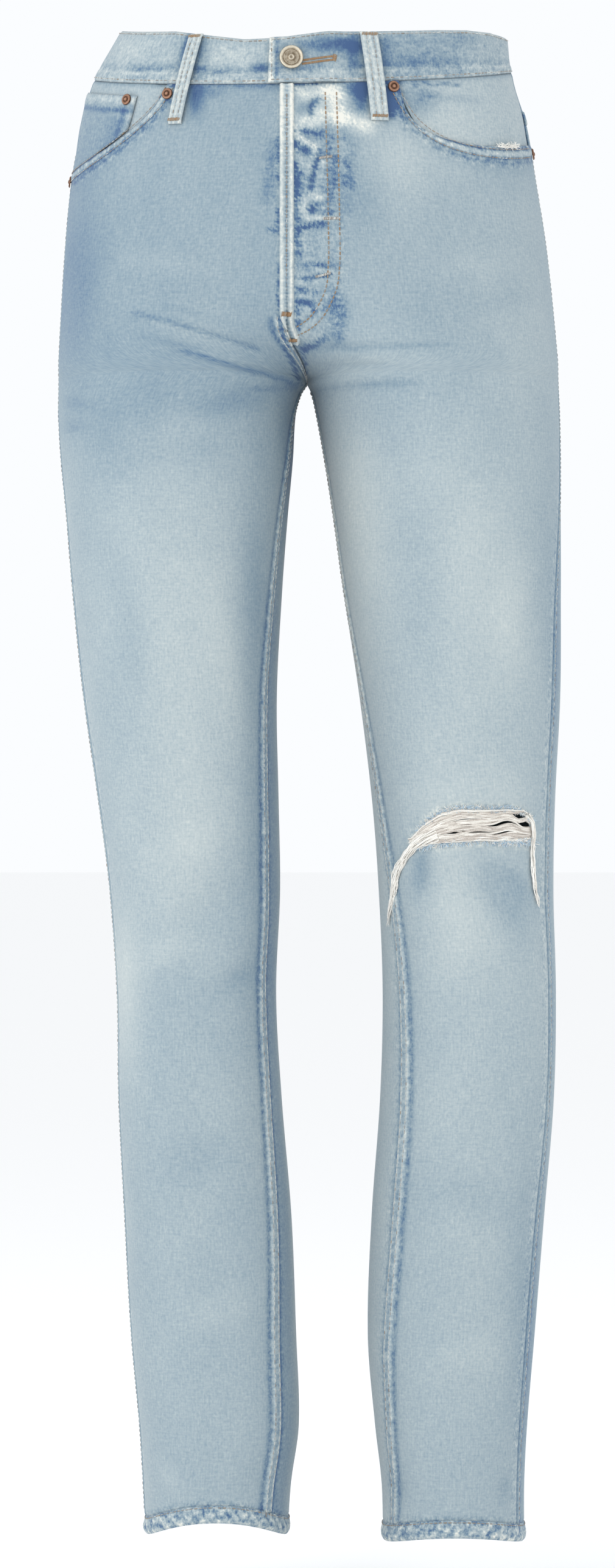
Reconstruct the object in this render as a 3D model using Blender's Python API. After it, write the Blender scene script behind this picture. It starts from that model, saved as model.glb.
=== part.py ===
"""Ripped straight-leg jeans, worn and hollow.

Metres, +Z up. The front faces -Y and the wearer's left leg is on the +X side. The origin is the middle of
the waist opening. Every piece of cloth is a wall laid on one surface: at each height the body is two ovals,
one for each leg, which the plane of the centre seams cuts above the crotch.
"""

import math
from collections import namedtuple
from functools import lru_cache

import bpy
import numpy as np

# ---------------------------------------------------------------- sizes

CLOTH = 0.0012  # one layer of denim
BAND = 0.0024  # the waistband and the hems, folded double
GAP = 0.0003  # between neighbouring pieces
PATCH_LIFT = 0.0008  # under what lies on a panel

CROTCH_Z = -0.218
HEM_HEIGHT = 0.012
WAISTBAND_HEIGHT = 0.032
OVAL = 2.15  # exponent of the ovals; 2 is an ellipse
REACH = 2.4  # how fast an oval grows past the centre plane above the crotch
REACH_EASE = 0.004  # over how much height that growth starts
CENTRE_X = -0.001  # the centre plane at the crotch and at the back
FLY_X = -0.0145  # the centre front seam, under the fly strip
FLY_BOTTOM_Z = -0.188
FLY_STRIP_WIDTH = 0.0095

YOKE_AT_CENTRE = 0.068
YOKE_AT_SIDE = 0.034

# the waistband's seam: its level, its tilts to the left and to the back, and its dip in front and behind
WAIST_LEVEL = -0.0125
WAIST_TILT_X = 0.018
WAIST_TILT_Y = 0.115
WAIST_DIP = 0.085
WAIST_DIP_EASE = 0.03

Outline = namedtuple("Outline", "z right_outer right_inner left_inner left_outer")
OUTLINE = [
    Outline(0.035, 0.118, 0.001, -0.001, 0.134),
    Outline(0.018, 0.126, 0.001, -0.001, 0.134),
    Outline(-0.015, 0.144, 0.001, -0.001, 0.138),
    Outline(-0.045, 0.152, 0.001, -0.001, 0.147),
    Outline(-0.080, 0.159, 0.001, -0.001, 0.153),
    Outline(-0.130, 0.164, 0.001, -0.001, 0.161),
    Outline(-0.200, 0.168, 0.001, -0.001, 0.168),
    Outline(-0.218, 0.168, 0.001, -0.001, 0.1685),
    Outline(-0.226, 0.168, 0.0052, 0.0030, 0.1687),
    Outline(-0.240, 0.168, 0.0084, 0.0062, 0.169),
    Outline(-0.270, 0.166, 0.0102, 0.0115, 0.1695),
    Outline(-0.310, 0.162, 0.0138, 0.0175, 0.170),
    Outline(-0.360, 0.158, 0.0175, 0.0240, 0.170),
    Outline(-0.430, 0.151, 0.0210, 0.0345, 0.1695),
    Outline(-0.500, 0.141, 0.0198, 0.0430, 0.166),
    Outline(-0.560, 0.133, 0.0188, 0.0475, 0.165),
    Outline(-0.630, 0.128, 0.0215, 0.0502, 0.1668),
    Outline(-0.700, 0.127, 0.0178, 0.0485, 0.1655),
    Outline(-0.780, 0.123, 0.0112, 0.0428, 0.159),
    Outline(-0.860, 0.1185, 0.0080, 0.0402, 0.1525),
    Outline(-0.920, 0.1130, 0.0062, 0.0450, 0.1475),
    Outline(-0.960, 0.1105, 0.0115, 0.0495, 0.1455),
    Outline(-1.000, 0.1085, 0.0140, 0.0505, 0.1455),
]

# spread: where the oval is fullest, 0 at the centre plane and 1 half-way to the side
Depth = namedtuple("Depth", "z front back front_spread back_spread")
DEPTH = [
    Depth(0.035, -0.083, 0.091, 0.00, 0.15),
    Depth(0.000, -0.086, 0.096, 0.00, 0.22),
    Depth(-0.060, -0.095, 0.112, 0.05, 0.50),
    Depth(-0.110, -0.101, 0.127, 0.20, 0.75),
    Depth(-0.160, -0.103, 0.134, 0.52, 0.90),
    Depth(-0.190, -0.1013, 0.1298, 0.83, 0.97),
    Depth(-0.205, -0.1001, 0.1268, 0.96, 0.99),
    Depth(-0.218, -0.099, 0.124, 1.00, 1.00),
    Depth(-0.235, -0.0977, 0.1192, 1.00, 1.00),
    Depth(-0.270, -0.095, 0.108, 1.00, 1.00),
    Depth(-0.340, -0.091, 0.091, 1.00, 1.00),
    Depth(-0.420, -0.084, 0.078, 1.00, 1.00),
    Depth(-0.510, -0.076, 0.068, 1.00, 1.00),
    Depth(-0.600, -0.067, 0.064, 1.00, 1.00),
    Depth(-0.700, -0.061, 0.065, 1.00, 1.00),
    Depth(-0.800, -0.058, 0.064, 1.00, 1.00),
    Depth(-0.900, -0.058, 0.062, 1.00, 1.00),
    Depth(-1.000, -0.061, 0.062, 1.00, 1.00),
]

# how far each seam is turned to the front of its leg, in degrees round the oval
Turn = namedtuple("Turn", "z right_outseam right_inseam left_inseam left_outseam")
TURN = [
    Turn(-0.218, 0, 0, 0, 0),
    Turn(-0.260, 2, 13, 2, 7),
    Turn(-0.370, 11, 23, 7, 24),
    Turn(-0.500, 14, 29, 20, 29),
    Turn(-0.590, 9, 30, 33, 28),
    Turn(-0.700, 7, 31, 40, 27),
    Turn(-0.800, 6, 35, 40, 30),
    Turn(-0.880, 6, 39, 35, 30),
    Turn(-1.000, 6, 43, 27, 30),
]

# the largest folds, seen from the front or the back; height is negative in a trough
Fold = namedtuple("Fold", "face start_x start_z end_x end_z width height")
FOLDS = [
    Fold("front", -0.112, -0.172, -0.030, -0.197, 0.011, 0.0022),
    Fold("front", -0.080, -0.196, -0.006, -0.214, 0.010, -0.0026),
    Fold("front", 0.020, -0.206, 0.092, -0.196, 0.012, 0.0018),
    Fold("front", -0.085, -0.590, -0.036, -0.553, 0.018, -0.0030),
    Fold("front", 0.075, -0.553, 0.150, -0.563, 0.016, -0.0032),
    Fold("front", 0.070, -0.498, 0.150, -0.494, 0.014, 0.0022),
    Fold("back", -0.135, -0.232, -0.035, -0.246, 0.014, -0.0034),
    Fold("back", 0.035, -0.246, 0.135, -0.230, 0.014, -0.0034),
    Fold("back", -0.120, -0.505, -0.040, -0.515, 0.016, -0.0040),
    Fold("back", 0.065, -0.512, 0.145, -0.500, 0.016, -0.0040),
    Fold("back", -0.118, -0.545, -0.045, -0.560, 0.014, -0.0026),
    Fold("back", 0.070, -0.560, 0.145, -0.545, 0.014, -0.0026),
]

# hip pocket openings: width at the waistband and drop at the side seam, along the cloth, and the curve's
# exponent, which is 2 for an ellipse and more for a squarer curve
Opening = namedtuple("Opening", "width drop curve")
OPENINGS = {"right": Opening(0.102, 0.061, 1.7), "left": Opening(0.1285, 0.0485, 3.3)}
FACING_BELOW = 0.012  # how far the facing goes on behind the front panel
FACING_PAST_OPENING = 0.008  # and how far past the opening's inner end
FACING_DEPTH = CLOTH + GAP
FACING_RISE_START = 0.004  # above the opening's edge, where the facing starts to come forward
FACING_RISE = 0.028  # and over how much height it does so

RIP_MIDDLE = (0.115, -0.515)
RIP_WIDTH = 0.076
RIP_HEIGHT = 0.021
RIP_CORNERS = 20
CUTTER_FRONT_Y = -0.2
CUTTER_BACK_Y = -0.02

SIDES = {"right": -1, "left": 1}

# ---------------------------------------------------------------- the surface


def smooth(value):
    """0 to 1 with level ends."""
    value = min(max(value, 0.0), 1.0)
    return value * value * (3 - 2 * value)


def column(table, name, z):
    """A column of a table at height z, on a cubic through its rows, which go from top to bottom."""
    heights = [-row.z for row in table]
    values = [getattr(row, name) for row in table]
    at = min(max(-z, heights[0]), heights[-1])
    k = min(max(int(np.searchsorted(heights, at)) - 1, 0), len(table) - 2)
    step = heights[k + 1] - heights[k]

    def slope(i):
        low = max(i - 1, 0)
        high = min(i + 1, len(table) - 1)
        return (values[high] - values[low]) / (heights[high] - heights[low])

    t = (at - heights[k]) / step
    start = values[k] * (2 * t**3 - 3 * t**2 + 1) + values[k + 1] * (3 * t**2 - 2 * t**3)
    return start + step * (slope(k) * (t**3 - 2 * t**2 + t) + slope(k + 1) * (t**3 - t**2))


def centre_x(face, z):
    """The centre seam: under the fly strip in front, then over to the middle at the crotch."""
    if face == "back":
        return CENTRE_X
    t = (FLY_BOTTOM_Z - z) / (FLY_BOTTOM_Z - CROTCH_Z)
    return FLY_X + (CENTRE_X - FLY_X) * smooth(t)


def grown(climb):
    """How far an oval reaches past the centre plane at a height above the crotch."""
    return REACH * (climb - REACH_EASE * (1 - math.exp(-climb / REACH_EASE)))


class Oval:
    """One leg's oval at one height. The angle is 0 at the side, 90 in front and 180 at the inside."""

    def __init__(self, side, z):
        self.sign = SIDES[side]
        self.outer = column(OUTLINE, side + "_outer", z)
        self.front = column(DEPTH, "front", z)
        self.back = column(DEPTH, "back", z)
        self.middle_y = (self.front + self.back) / 2
        self.inner = {}
        self.crest = {}
        self.cut = {}
        for face in ("front", "back"):
            centre = self.sign * centre_x(face, z)
            spread = column(DEPTH, face + "_spread", z)
            self.inner[face] = column(OUTLINE, side + "_inner", z)
            self.crest[face] = (self.outer + self.inner[face]) / 2
            self.cut[face] = math.pi
            if z > CROTCH_Z:
                self.inner[face] = centre - grown(z - CROTCH_Z)
                self.crest[face] = centre + spread * (self.outer - centre) / 2
                share = (self.crest[face] - centre) / (self.crest[face] - self.inner[face])
                self.cut[face] = math.pi - math.acos(min(max(share, 0.0), 1.0) ** (OVAL / 2))

    def point(self, angle):
        """x and y at an angle, with the back half at negative angles."""
        angle = wrapped(angle)
        face = "front" if angle >= 0 else "back"
        across = math.cos(angle)
        along = abs(math.sin(angle)) ** (2 / OVAL)
        crest = self.crest[face]
        far = self.outer if across >= 0 else self.inner[face]
        x = crest + (far - crest) * abs(across) ** (2 / OVAL)
        depth = self.front if face == "front" else self.back
        y = self.middle_y + (depth - self.middle_y) * along
        return self.sign * x, y

    def angle_at(self, face, x):
        """The angle at which this face of the oval passes x."""
        away = self.sign * x - self.crest[face]
        far = self.outer - self.crest[face] if away >= 0 else self.crest[face] - self.inner[face]
        across = min(abs(away) / far, 1.0) ** (OVAL / 2)
        angle = math.acos(math.copysign(across, away))
        return angle if face == "front" else -angle


@lru_cache(maxsize=None)
def oval_at(side, z):
    return Oval(side, z)


def wrapped(angle):
    """The same angle between -180 and 180 degrees, so that its sign says front or back."""
    return math.remainder(angle, 2 * math.pi)


def face_of(angle):
    return "front" if wrapped(angle) >= 0 else "back"


def fold_height(face, x, z):
    """How far the folds move the cloth out at a place seen from the front or the back."""
    total = 0.0
    for fold in FOLDS:
        if fold.face != face:
            continue
        run = np.array([fold.end_x - fold.start_x, fold.end_z - fold.start_z])
        place = np.array([x - fold.start_x, z - fold.start_z])
        t = float(place @ run / (run @ run))
        near = np.clip(t, 0, 1)
        away = float(np.hypot(*(place - near * run)))
        fullness = 0.4 + 0.6 * math.sin(math.pi * near)
        total += fold.height * math.exp(-((away / fold.width) ** 2)) * fullness
    return total


def bare_point(side, z, angle):
    x, y = oval_at(side, z).point(angle)
    return np.array([x, y, z])


def normal_at(side, z, angle):
    """The outward normal. The step in height stays on one side of the crotch."""
    small = 0.0008
    up = small if z >= CROTCH_Z else -small
    along = bare_point(side, z, angle + 0.02) - bare_point(side, z, angle - 0.02)
    climb = (bare_point(side, z + up, angle) - bare_point(side, z, angle)) * np.sign(up)
    normal = np.cross(climb, along) * SIDES[side]
    return normal / np.linalg.norm(normal)


def cloth_point(side, z, angle, out=0.0):
    """A point of the cloth with its folds, moved out along the normal."""
    point = bare_point(side, z, angle)
    normal = normal_at(side, z, angle)
    lift = fold_height(face_of(angle), point[0], z) * abs(math.sin(angle))
    return point + normal * (lift + out), normal


def seam_angles(side, face, z):
    """The angles of a panel's inner seam and of its outseam at height z."""
    outseam = 0.0
    inseam = oval_at(side, z).cut[face] * (1 if face == "front" else -1)
    if z <= CROTCH_Z:
        outseam = math.radians(column(TURN, side + "_outseam", z))
        turn = math.radians(column(TURN, side + "_inseam", z))
        inseam = math.pi - turn if face == "front" else -math.pi - turn
    return inseam, outseam


@lru_cache(maxsize=None)
def measured_panel(side, face, z):
    """Angles across a panel at height z, and their distances from its inner seam along the cloth."""
    inner, outer = seam_angles(side, face, z)
    angles = np.linspace(inner, outer, 97)
    points = np.array([oval_at(side, z).point(a) for a in angles])
    steps = np.hypot(*np.diff(points, axis=0).T)
    return angles, np.concatenate([[0], np.cumsum(steps)])


def panel_width(side, face, z):
    return measured_panel(side, face, z)[1][-1]


def panel_angle(side, face, z, share):
    """The angle at a share of the panel's width, from its inner seam to its outseam, less the gaps."""
    angles, lengths = measured_panel(side, face, z)
    return float(np.interp(GAP / 2 + share * (lengths[-1] - GAP), lengths, angles))


def angle_from_side(side, face, z, distance):
    """The angle at a distance along the cloth from the outseam."""
    angles, lengths = measured_panel(side, face, z)
    return float(np.interp(lengths[-1] - distance, lengths, angles))


# ---------------------------------------------------------------- lines on the surface


def waist_seam_z(x, y):
    """The waistband's lower seam: it dips in front and is a little higher at the wearer's left."""
    dip = WAIST_DIP * (math.hypot(y, WAIST_DIP_EASE) - WAIST_DIP_EASE)
    return WAIST_LEVEL + WAIST_TILT_X * x + WAIST_TILT_Y * y - dip


def level_at(side, face, share, height):
    """The z at a share of a panel's width where it meets a line whose height depends on x and y."""
    z = -0.02
    for _ in range(5):
        x, y = oval_at(side, z).point(panel_angle(side, face, z, share))
        z = height(x, y)
    return z


def opening_drop(side, from_seam):
    """How far the hip pocket opening lies below the waistband, by the distance from the side seam."""
    opening = OPENINGS[side]
    share = min(from_seam / opening.width, 1.0)
    return opening.drop * (1 - share**opening.curve) ** (1 / opening.curve)


def front_top_z(side, share):
    """The top edge of a front panel: the waistband's seam, then the pocket opening."""
    seam = level_at(side, "front", share, waist_seam_z)
    from_side = (1 - share) * panel_width(side, "front", seam)
    return seam - opening_drop(side, from_side) - GAP


def yoke_seam_z(side, share):
    """The yoke's lower seam, by the share of the width from the centre back to the side."""
    top = level_at(side, "back", share, waist_seam_z)
    return top - (YOKE_AT_CENTRE + (YOKE_AT_SIDE - YOKE_AT_CENTRE) * share)


# ---------------------------------------------------------------- making solids


def clear_scene():
    for item in list(bpy.data.objects):
        bpy.data.objects.remove(item)


def material(name, color, roughness, metallic=0.0):
    made = bpy.data.materials.get(name) or bpy.data.materials.new(name)
    made.use_nodes = True
    shader = made.node_tree.nodes["Principled BSDF"]
    shader.inputs["Base Color"].default_value = (*color, 1.0)
    shader.inputs["Roughness"].default_value = roughness
    shader.inputs["Metallic"].default_value = metallic
    return made


def add_object(name, vertices, faces, finish):
    mesh = bpy.data.meshes.new(name)
    mesh.from_pydata([tuple(map(float, v)) for v in vertices], [], faces)
    mesh.validate()
    mesh.shade_smooth()
    mesh.set_sharp_from_angle(angle=math.radians(40))
    mesh.materials.append(finish)
    made = bpy.data.objects.new(name, mesh)
    bpy.context.scene.collection.objects.link(made)
    return made


def wall(name, points, normals, thickness, finish, ring=False):
    """A closed wall on a grid of points. ring joins its last column to its first."""
    outside = np.array(points)
    inside = outside - np.array(normals) * thickness
    rows, columns = outside.shape[:2]
    vertices = np.concatenate([outside.reshape(-1, 3), inside.reshape(-1, 3)])
    layer = rows * columns

    def at(r, c, side):
        return side * layer + r * columns + c % columns

    last = columns if ring else columns - 1
    faces = []
    for r in range(rows - 1):
        for c in range(last):
            faces.append((at(r, c, 0), at(r, c + 1, 0), at(r + 1, c + 1, 0), at(r + 1, c, 0)))
            faces.append((at(r, c, 1), at(r + 1, c, 1), at(r + 1, c + 1, 1), at(r, c + 1, 1)))
    for c in range(last):
        faces.append((at(0, c, 0), at(0, c, 1), at(0, c + 1, 1), at(0, c + 1, 0)))
        end = rows - 1
        faces.append((at(end, c, 0), at(end, c + 1, 0), at(end, c + 1, 1), at(end, c, 1)))
    if not ring:
        for r in range(rows - 1):
            end = columns - 1
            faces.append((at(r, 0, 0), at(r + 1, 0, 0), at(r + 1, 0, 1), at(r, 0, 1)))
            faces.append((at(r, end, 0), at(r, end, 1), at(r + 1, end, 1), at(r + 1, end, 0)))
    made = add_object(name, vertices, faces, finish)
    face_outward(made)
    return made


def face_outward(made):
    """Turns every face round if the solid is inside out."""
    mesh = made.data
    mesh.calc_loop_triangles()
    volume = 0.0
    for triangle in mesh.loop_triangles:
        a, b, c = (mesh.vertices[i].co for i in triangle.vertices)
        volume += a.dot(b.cross(c))
    if volume < 0:
        mesh.flip_normals()


def grid(place, rows, columns):
    """Points and normals from place(row share, column share)."""
    points = []
    normals = []
    for r in rows:
        line = [place(r, c) for c in columns]
        points.append([point for point, _ in line])
        normals.append([normal for _, normal in line])
    return points, normals


# ---------------------------------------------------------------- leg panels and yokes

DENIM = ("denim", (0.55, 0.64, 0.70), 0.85)
DENIM_EDGE = ("denim_edge", (0.62, 0.69, 0.73), 0.85)
BRASS = ("antique_brass", (0.45, 0.40, 0.32), 0.42, 1.0)
COPPER = ("copper", (0.42, 0.24, 0.15), 0.45, 1.0)

PANEL_SHARES = [k / 11 for k in range(12)]  # of a panel's width, from its inner seam
TOP_ROWS = 5
LEVEL_BELOW_TOP = -0.130
LEVEL_ABOVE_HEM = -0.930
LEVELS = [
    *(-0.160, -0.185, -0.200, -0.210, -0.2155, -0.218, -0.222, -0.230, -0.245, -0.270),
    *(-0.305, -0.350, -0.400, -0.450, -0.485, -0.510, -0.535, -0.565, -0.610, -0.670),
    *(-0.740, -0.810, -0.880),
]

# the mouth of each leg: its level at the sides and how far its front rides up, at FRONT_REACH from them
Mouth = namedtuple("Mouth", "level front_rise")
FRONT_REACH = 0.06
MOUTHS = {"right": Mouth(-0.993, 0.014), "left": Mouth(-0.997, 0.008)}


def hem_z(side, y):
    """The bottom edge of a leg, which rides up in front."""
    mouth = MOUTHS[side]
    return mouth.level + mouth.front_rise * (min(y, 0.0) / FRONT_REACH) ** 2


def hem_top_z(side, face, share):
    def height(_x, y):
        return hem_z(side, y) + HEM_HEIGHT

    return level_at(side, face, share, height) + GAP


def panel_heights(top, bottom):
    """The heights down one column of a panel: spread at both ends and level between."""
    upper = [float(z) for z in np.linspace(top, LEVEL_BELOW_TOP, TOP_ROWS)]
    lower = [LEVEL_ABOVE_HEM, (LEVEL_ABOVE_HEM + bottom) / 2, bottom]
    return upper + LEVELS + lower


def leg_panel(side, face, top_z):
    """A front or back panel, from top_z(side, share) down to the hem."""
    columns = [
        panel_heights(top_z(side, share), hem_top_z(side, face, share)) for share in PANEL_SHARES
    ]
    points = []
    normals = []
    for heights in zip(*columns):
        row = [
            cloth_point(side, z, panel_angle(side, face, z, share))
            for z, share in zip(heights, PANEL_SHARES)
        ]
        points.append([point for point, _ in row])
        normals.append([normal for _, normal in row])
    return wall(f"{face}_{side}", points, normals, CLOTH, material(*DENIM))


def back_top_z(side, share):
    return yoke_seam_z(side, share) - GAP


def yoke(side):
    """The shaped piece between the waistband and a back panel."""

    def place(down, share):
        top = level_at(side, "back", share, waist_seam_z) - GAP
        z = top + (yoke_seam_z(side, share) - top) * down
        return cloth_point(side, z, panel_angle(side, "back", z, share))

    points, normals = grid(place, np.linspace(0, 1, 4), PANEL_SHARES)
    return wall("yoke_" + side, points, normals, CLOTH, material(*DENIM))


def cut_rip(panel):
    """The rip across the wearer's left knee, a long hole with pointed ends."""
    outline = []
    for k in range(RIP_CORNERS):
        turn = 2 * math.pi * k / RIP_CORNERS
        x = RIP_MIDDLE[0] + RIP_WIDTH / 2 * math.cos(turn)
        z = RIP_MIDDLE[1] + RIP_HEIGHT / 2 * math.sin(turn) * (0.55 + 0.45 * abs(math.sin(turn)))
        outline.append((x, z))
    vertices = [(x, y, z) for y in (CUTTER_FRONT_Y, CUTTER_BACK_Y) for x, z in outline]
    count = len(outline)
    faces = [tuple(range(count)), tuple(range(2 * count - 1, count - 1, -1))]
    for k in range(count):
        after = (k + 1) % count
        faces.append((k, k + count, after + count, after))
    cutter = add_object("rip_cutter", vertices, faces, material(*DENIM))
    face_outward(cutter)
    cutter.hide_render = True
    cutter.display_type = "WIRE"
    cut = panel.modifiers.new("rip", "BOOLEAN")
    cut.operation = "DIFFERENCE"
    cut.object = cutter


# ---------------------------------------------------------------- pockets


@lru_cache(maxsize=None)
def seam_above(side, from_side):
    """The waistband's seam over a place on a front panel."""
    z = -0.02
    for _ in range(5):
        x, y = oval_at(side, z).point(angle_from_side(side, "front", z, from_side))
        z = waist_seam_z(x, y)
    return z


def place_on_front(side, z, from_side, out):
    return cloth_point(side, z, angle_from_side(side, "front", z, from_side), out)


def facing_out(side, z, from_side):
    """The facing's outer face: behind the front panel, and level with it where it meets the seams."""
    edge = seam_above(side, from_side) - opening_drop(side, from_side)
    return -FACING_DEPTH * (1 - smooth((z - edge - FACING_RISE_START) / FACING_RISE))


def pocket_facing(side):
    """The denim that shows above a hip pocket opening, and goes a little way down inside it."""
    width = panel_width(side, "front", -0.02)
    first = 1 - (OPENINGS[side].width + FACING_PAST_OPENING) / width
    shares = [first] + [share for share in PANEL_SHARES if share > first + 0.02]

    def place(down, share):
        from_side = GAP / 2 + (width - GAP) * (1 - share)
        top = seam_above(side, from_side) - GAP
        z = top - (opening_drop(side, from_side) + FACING_BELOW) * down
        return place_on_front(side, z, from_side, facing_out(side, z, from_side) - GAP)

    points, normals = grid(place, np.linspace(0, 1, 5), shares)
    return wall("pocket_facing_" + side, points, normals, CLOTH, material(*DENIM))


COIN_REACH = 0.083
COIN_FROM_SEAM = 0.004
COIN_TOP_BELOW_SEAM = 0.0085
COIN_ABOVE_EDGE = 0.0012


def coin_pocket():
    """The small patch on the wearer's right facing, down to the pocket opening."""

    def place(down, share):
        from_side = COIN_FROM_SEAM + (COIN_REACH - COIN_FROM_SEAM) * (1 - share)
        seam = seam_above("right", from_side)
        top = seam - COIN_TOP_BELOW_SEAM
        bottom = seam - opening_drop("right", from_side) + COIN_ABOVE_EDGE
        z = top + (bottom - top) * down
        out = facing_out("right", z, from_side) + GAP + CLOTH
        return place_on_front("right", z, from_side, out)

    points, normals = grid(place, np.linspace(0, 1, 4), np.linspace(0, 1, 7))
    return wall("coin_pocket", points, normals, CLOTH, material(*DENIM))


BackPocket = namedtuple("BackPocket", "from_side top_z height point top_width bottom_width")
BACK_POCKET = BackPocket(0.108, -0.112, 0.118, 0.018, 0.136, 0.116)
POCKET_LIFT = 0.0016


def back_pocket(side):
    """A plain patch pocket with a pointed bottom edge."""
    size = BACK_POCKET

    def place(down, across):
        z = size.top_z - size.height * down - size.point * (1 - abs(across)) * down
        width = size.top_width + (size.bottom_width - size.top_width) * down
        from_side = size.from_side - across * width / 2
        angle = angle_from_side(side, "back", z, from_side)
        return cloth_point(side, z, angle, POCKET_LIFT + CLOTH)

    points, normals = grid(place, np.linspace(0, 1, 7), np.linspace(-1, 1, 9))
    return wall("back_pocket_" + side, points, normals, CLOTH, material(*DENIM))


# ---------------------------------------------------------------- waistband, loops, fly and hems

FLAP_END = -0.0115  # the top end of the waistband, past the centre front seam
UNDERLAP_END = 0.018
FLAP_LIFT = BAND + GAP
FLAP_EASE_START = 0.002  # past the end that it covers, where the flap starts to come down
FLAP_EASE = 0.024
WAISTBAND_COLUMNS = 56
GIRTH_Z = -0.01


def around_waist(z, distance):
    """Side and angle at a distance round the waist from the centre front seam, to the wearer's left."""
    parts = [("left", "front"), ("left", "back"), ("right", "back"), ("right", "front")]
    lengths = [panel_width(side, face, z) for side, face in parts]
    distance %= sum(lengths)
    for (side, face), length in zip(parts, lengths):
        if distance <= length:
            break
        distance -= length
    outward = (side, face) in (("left", "front"), ("right", "back"))
    angles, marks = measured_panel(side, face, z)
    at = distance if outward else length - distance
    return side, float(np.interp(at, marks, angles))


def flap_lift(distance):
    """The outer end of the waistband lies on the inner end, then comes down to the body."""
    return FLAP_LIFT * (1 - smooth((distance - UNDERLAP_END - FLAP_EASE_START) / FLAP_EASE))


def waistband():
    girth = sum(panel_width(s, f, GIRTH_Z) for s in SIDES for f in ("front", "back"))
    reach = np.linspace(FLAP_END, girth + UNDERLAP_END, WAISTBAND_COLUMNS)

    def place(up, distance):
        z = 0.0
        for _ in range(5):
            side, angle = around_waist(z, distance)
            x, y = oval_at(side, z).point(angle)
            z = waist_seam_z(x, y) + GAP + WAISTBAND_HEIGHT * up
        side, angle = around_waist(z, distance)
        return cloth_point(side, z, angle, flap_lift(distance))

    points, normals = grid(place, (1.0, 0.5, 0.0), reach)
    return wall("waistband", points, normals, BAND, material(*DENIM))


# drop: how far a loop goes on below the waistband
Loop = namedtuple("Loop", "name side face top_x bottom_x drop width")
LOOPS = [
    Loop("front_right", "right", "front", -0.0730, -0.0875, 0.026, 0.0095),
    Loop("front_left", "left", "front", 0.0395, 0.0470, 0.0255, 0.0120),
    Loop("side_right", "right", "back", -0.1120, -0.1230, 0.024, 0.0105),
    Loop("side_left", "left", "back", 0.1180, 0.1230, 0.024, 0.0105),
    Loop("back", "left", "back", 0.0060, 0.0060, 0.024, 0.0105),
]
LOOP_THICK = 0.0016
LOOP_STAND_OFF = 0.0026
LOOP_BELOW_EDGE = 0.0006  # its top end, below the waistband's upper edge


def step_angle(side, z, angle, distance):
    """An angle moved by a short distance along the cloth."""
    small = 0.01
    ahead = np.array(oval_at(side, z).point(angle + small))
    behind = np.array(oval_at(side, z).point(angle - small))
    return angle + distance * 2 * small / float(np.hypot(*(ahead - behind)))


def belt_loop(loop):
    """A strip over the waistband, sewn down at its ends and standing off between them."""
    lift = PATCH_LIFT + LOOP_THICK

    def place(down, across):
        x = loop.top_x + (loop.bottom_x - loop.top_x) * down
        z = 0.0
        for _ in range(5):
            _, y = oval_at(loop.side, z).point(oval_at(loop.side, z).angle_at(loop.face, x))
            top = waist_seam_z(x, y) + WAISTBAND_HEIGHT - LOOP_BELOW_EDGE
            z = top - (WAISTBAND_HEIGHT + loop.drop) * down
        angle = oval_at(loop.side, z).angle_at(loop.face, x)
        angle = step_angle(loop.side, z, angle, across * loop.width / 2)
        out = lift + LOOP_STAND_OFF * math.sin(math.pi * down) ** 0.7
        return cloth_point(loop.side, z, angle, out)

    points, normals = grid(place, np.linspace(0, 1, 9), (-1, 0, 1))
    name = "belt_loop_" + loop.name
    return wall(name, points, normals, LOOP_THICK, material(*DENIM_EDGE))


FLY_Y = -0.088
FLY_BELOW_WAISTBAND = 0.0015


def fly_strip():
    """The raised edge of the button fly, over the centre front seam."""

    def place(down, across):
        top = waist_seam_z(FLY_X, FLY_Y) - FLY_BELOW_WAISTBAND
        z = top + (FLY_BOTTOM_Z - top) * down
        x = centre_x("front", z) + across * FLY_STRIP_WIDTH / 2
        side = "left" if across > 0 else "right"
        angle = oval_at(side, z).angle_at("front", x)
        return cloth_point(side, z, angle, PATCH_LIFT + CLOTH)

    points, normals = grid(place, np.linspace(0, 1, 14), (-1, 1))
    return wall("fly_strip", points, normals, CLOTH, material(*DENIM_EDGE))


HEM_COLUMNS = 28


def hem(side):
    """The turned-up band round a leg's mouth."""

    def place(up, turn):
        angle = 2 * math.pi * turn / HEM_COLUMNS
        z = MOUTHS[side].level
        for _ in range(5):
            _, y = oval_at(side, z).point(angle)
            z = hem_z(side, y) + HEM_HEIGHT * up
        return cloth_point(side, z, angle)

    points, normals = grid(place, (1.0, 0.0), range(HEM_COLUMNS))
    return wall("hem_" + side, points, normals, BAND, material(*DENIM_EDGE), ring=True)


# ---------------------------------------------------------------- button and rivets

Ring = namedtuple("Ring", "radius height")
BUTTON_PROFILE = [
    Ring(0.0035, 0.0),
    Ring(0.0035, 0.0010),
    Ring(0.0078, 0.0013),
    Ring(0.0076, 0.0030),
    Ring(0.0066, 0.0033),
    Ring(0.0058, 0.0029),
    Ring(0.0030, 0.0028),
]
RIVET_PROFILE = [
    Ring(0.0038, 0.0),
    Ring(0.0038, 0.0005),
    Ring(0.0030, 0.0011),
    Ring(0.0014, 0.0017),
]


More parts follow.
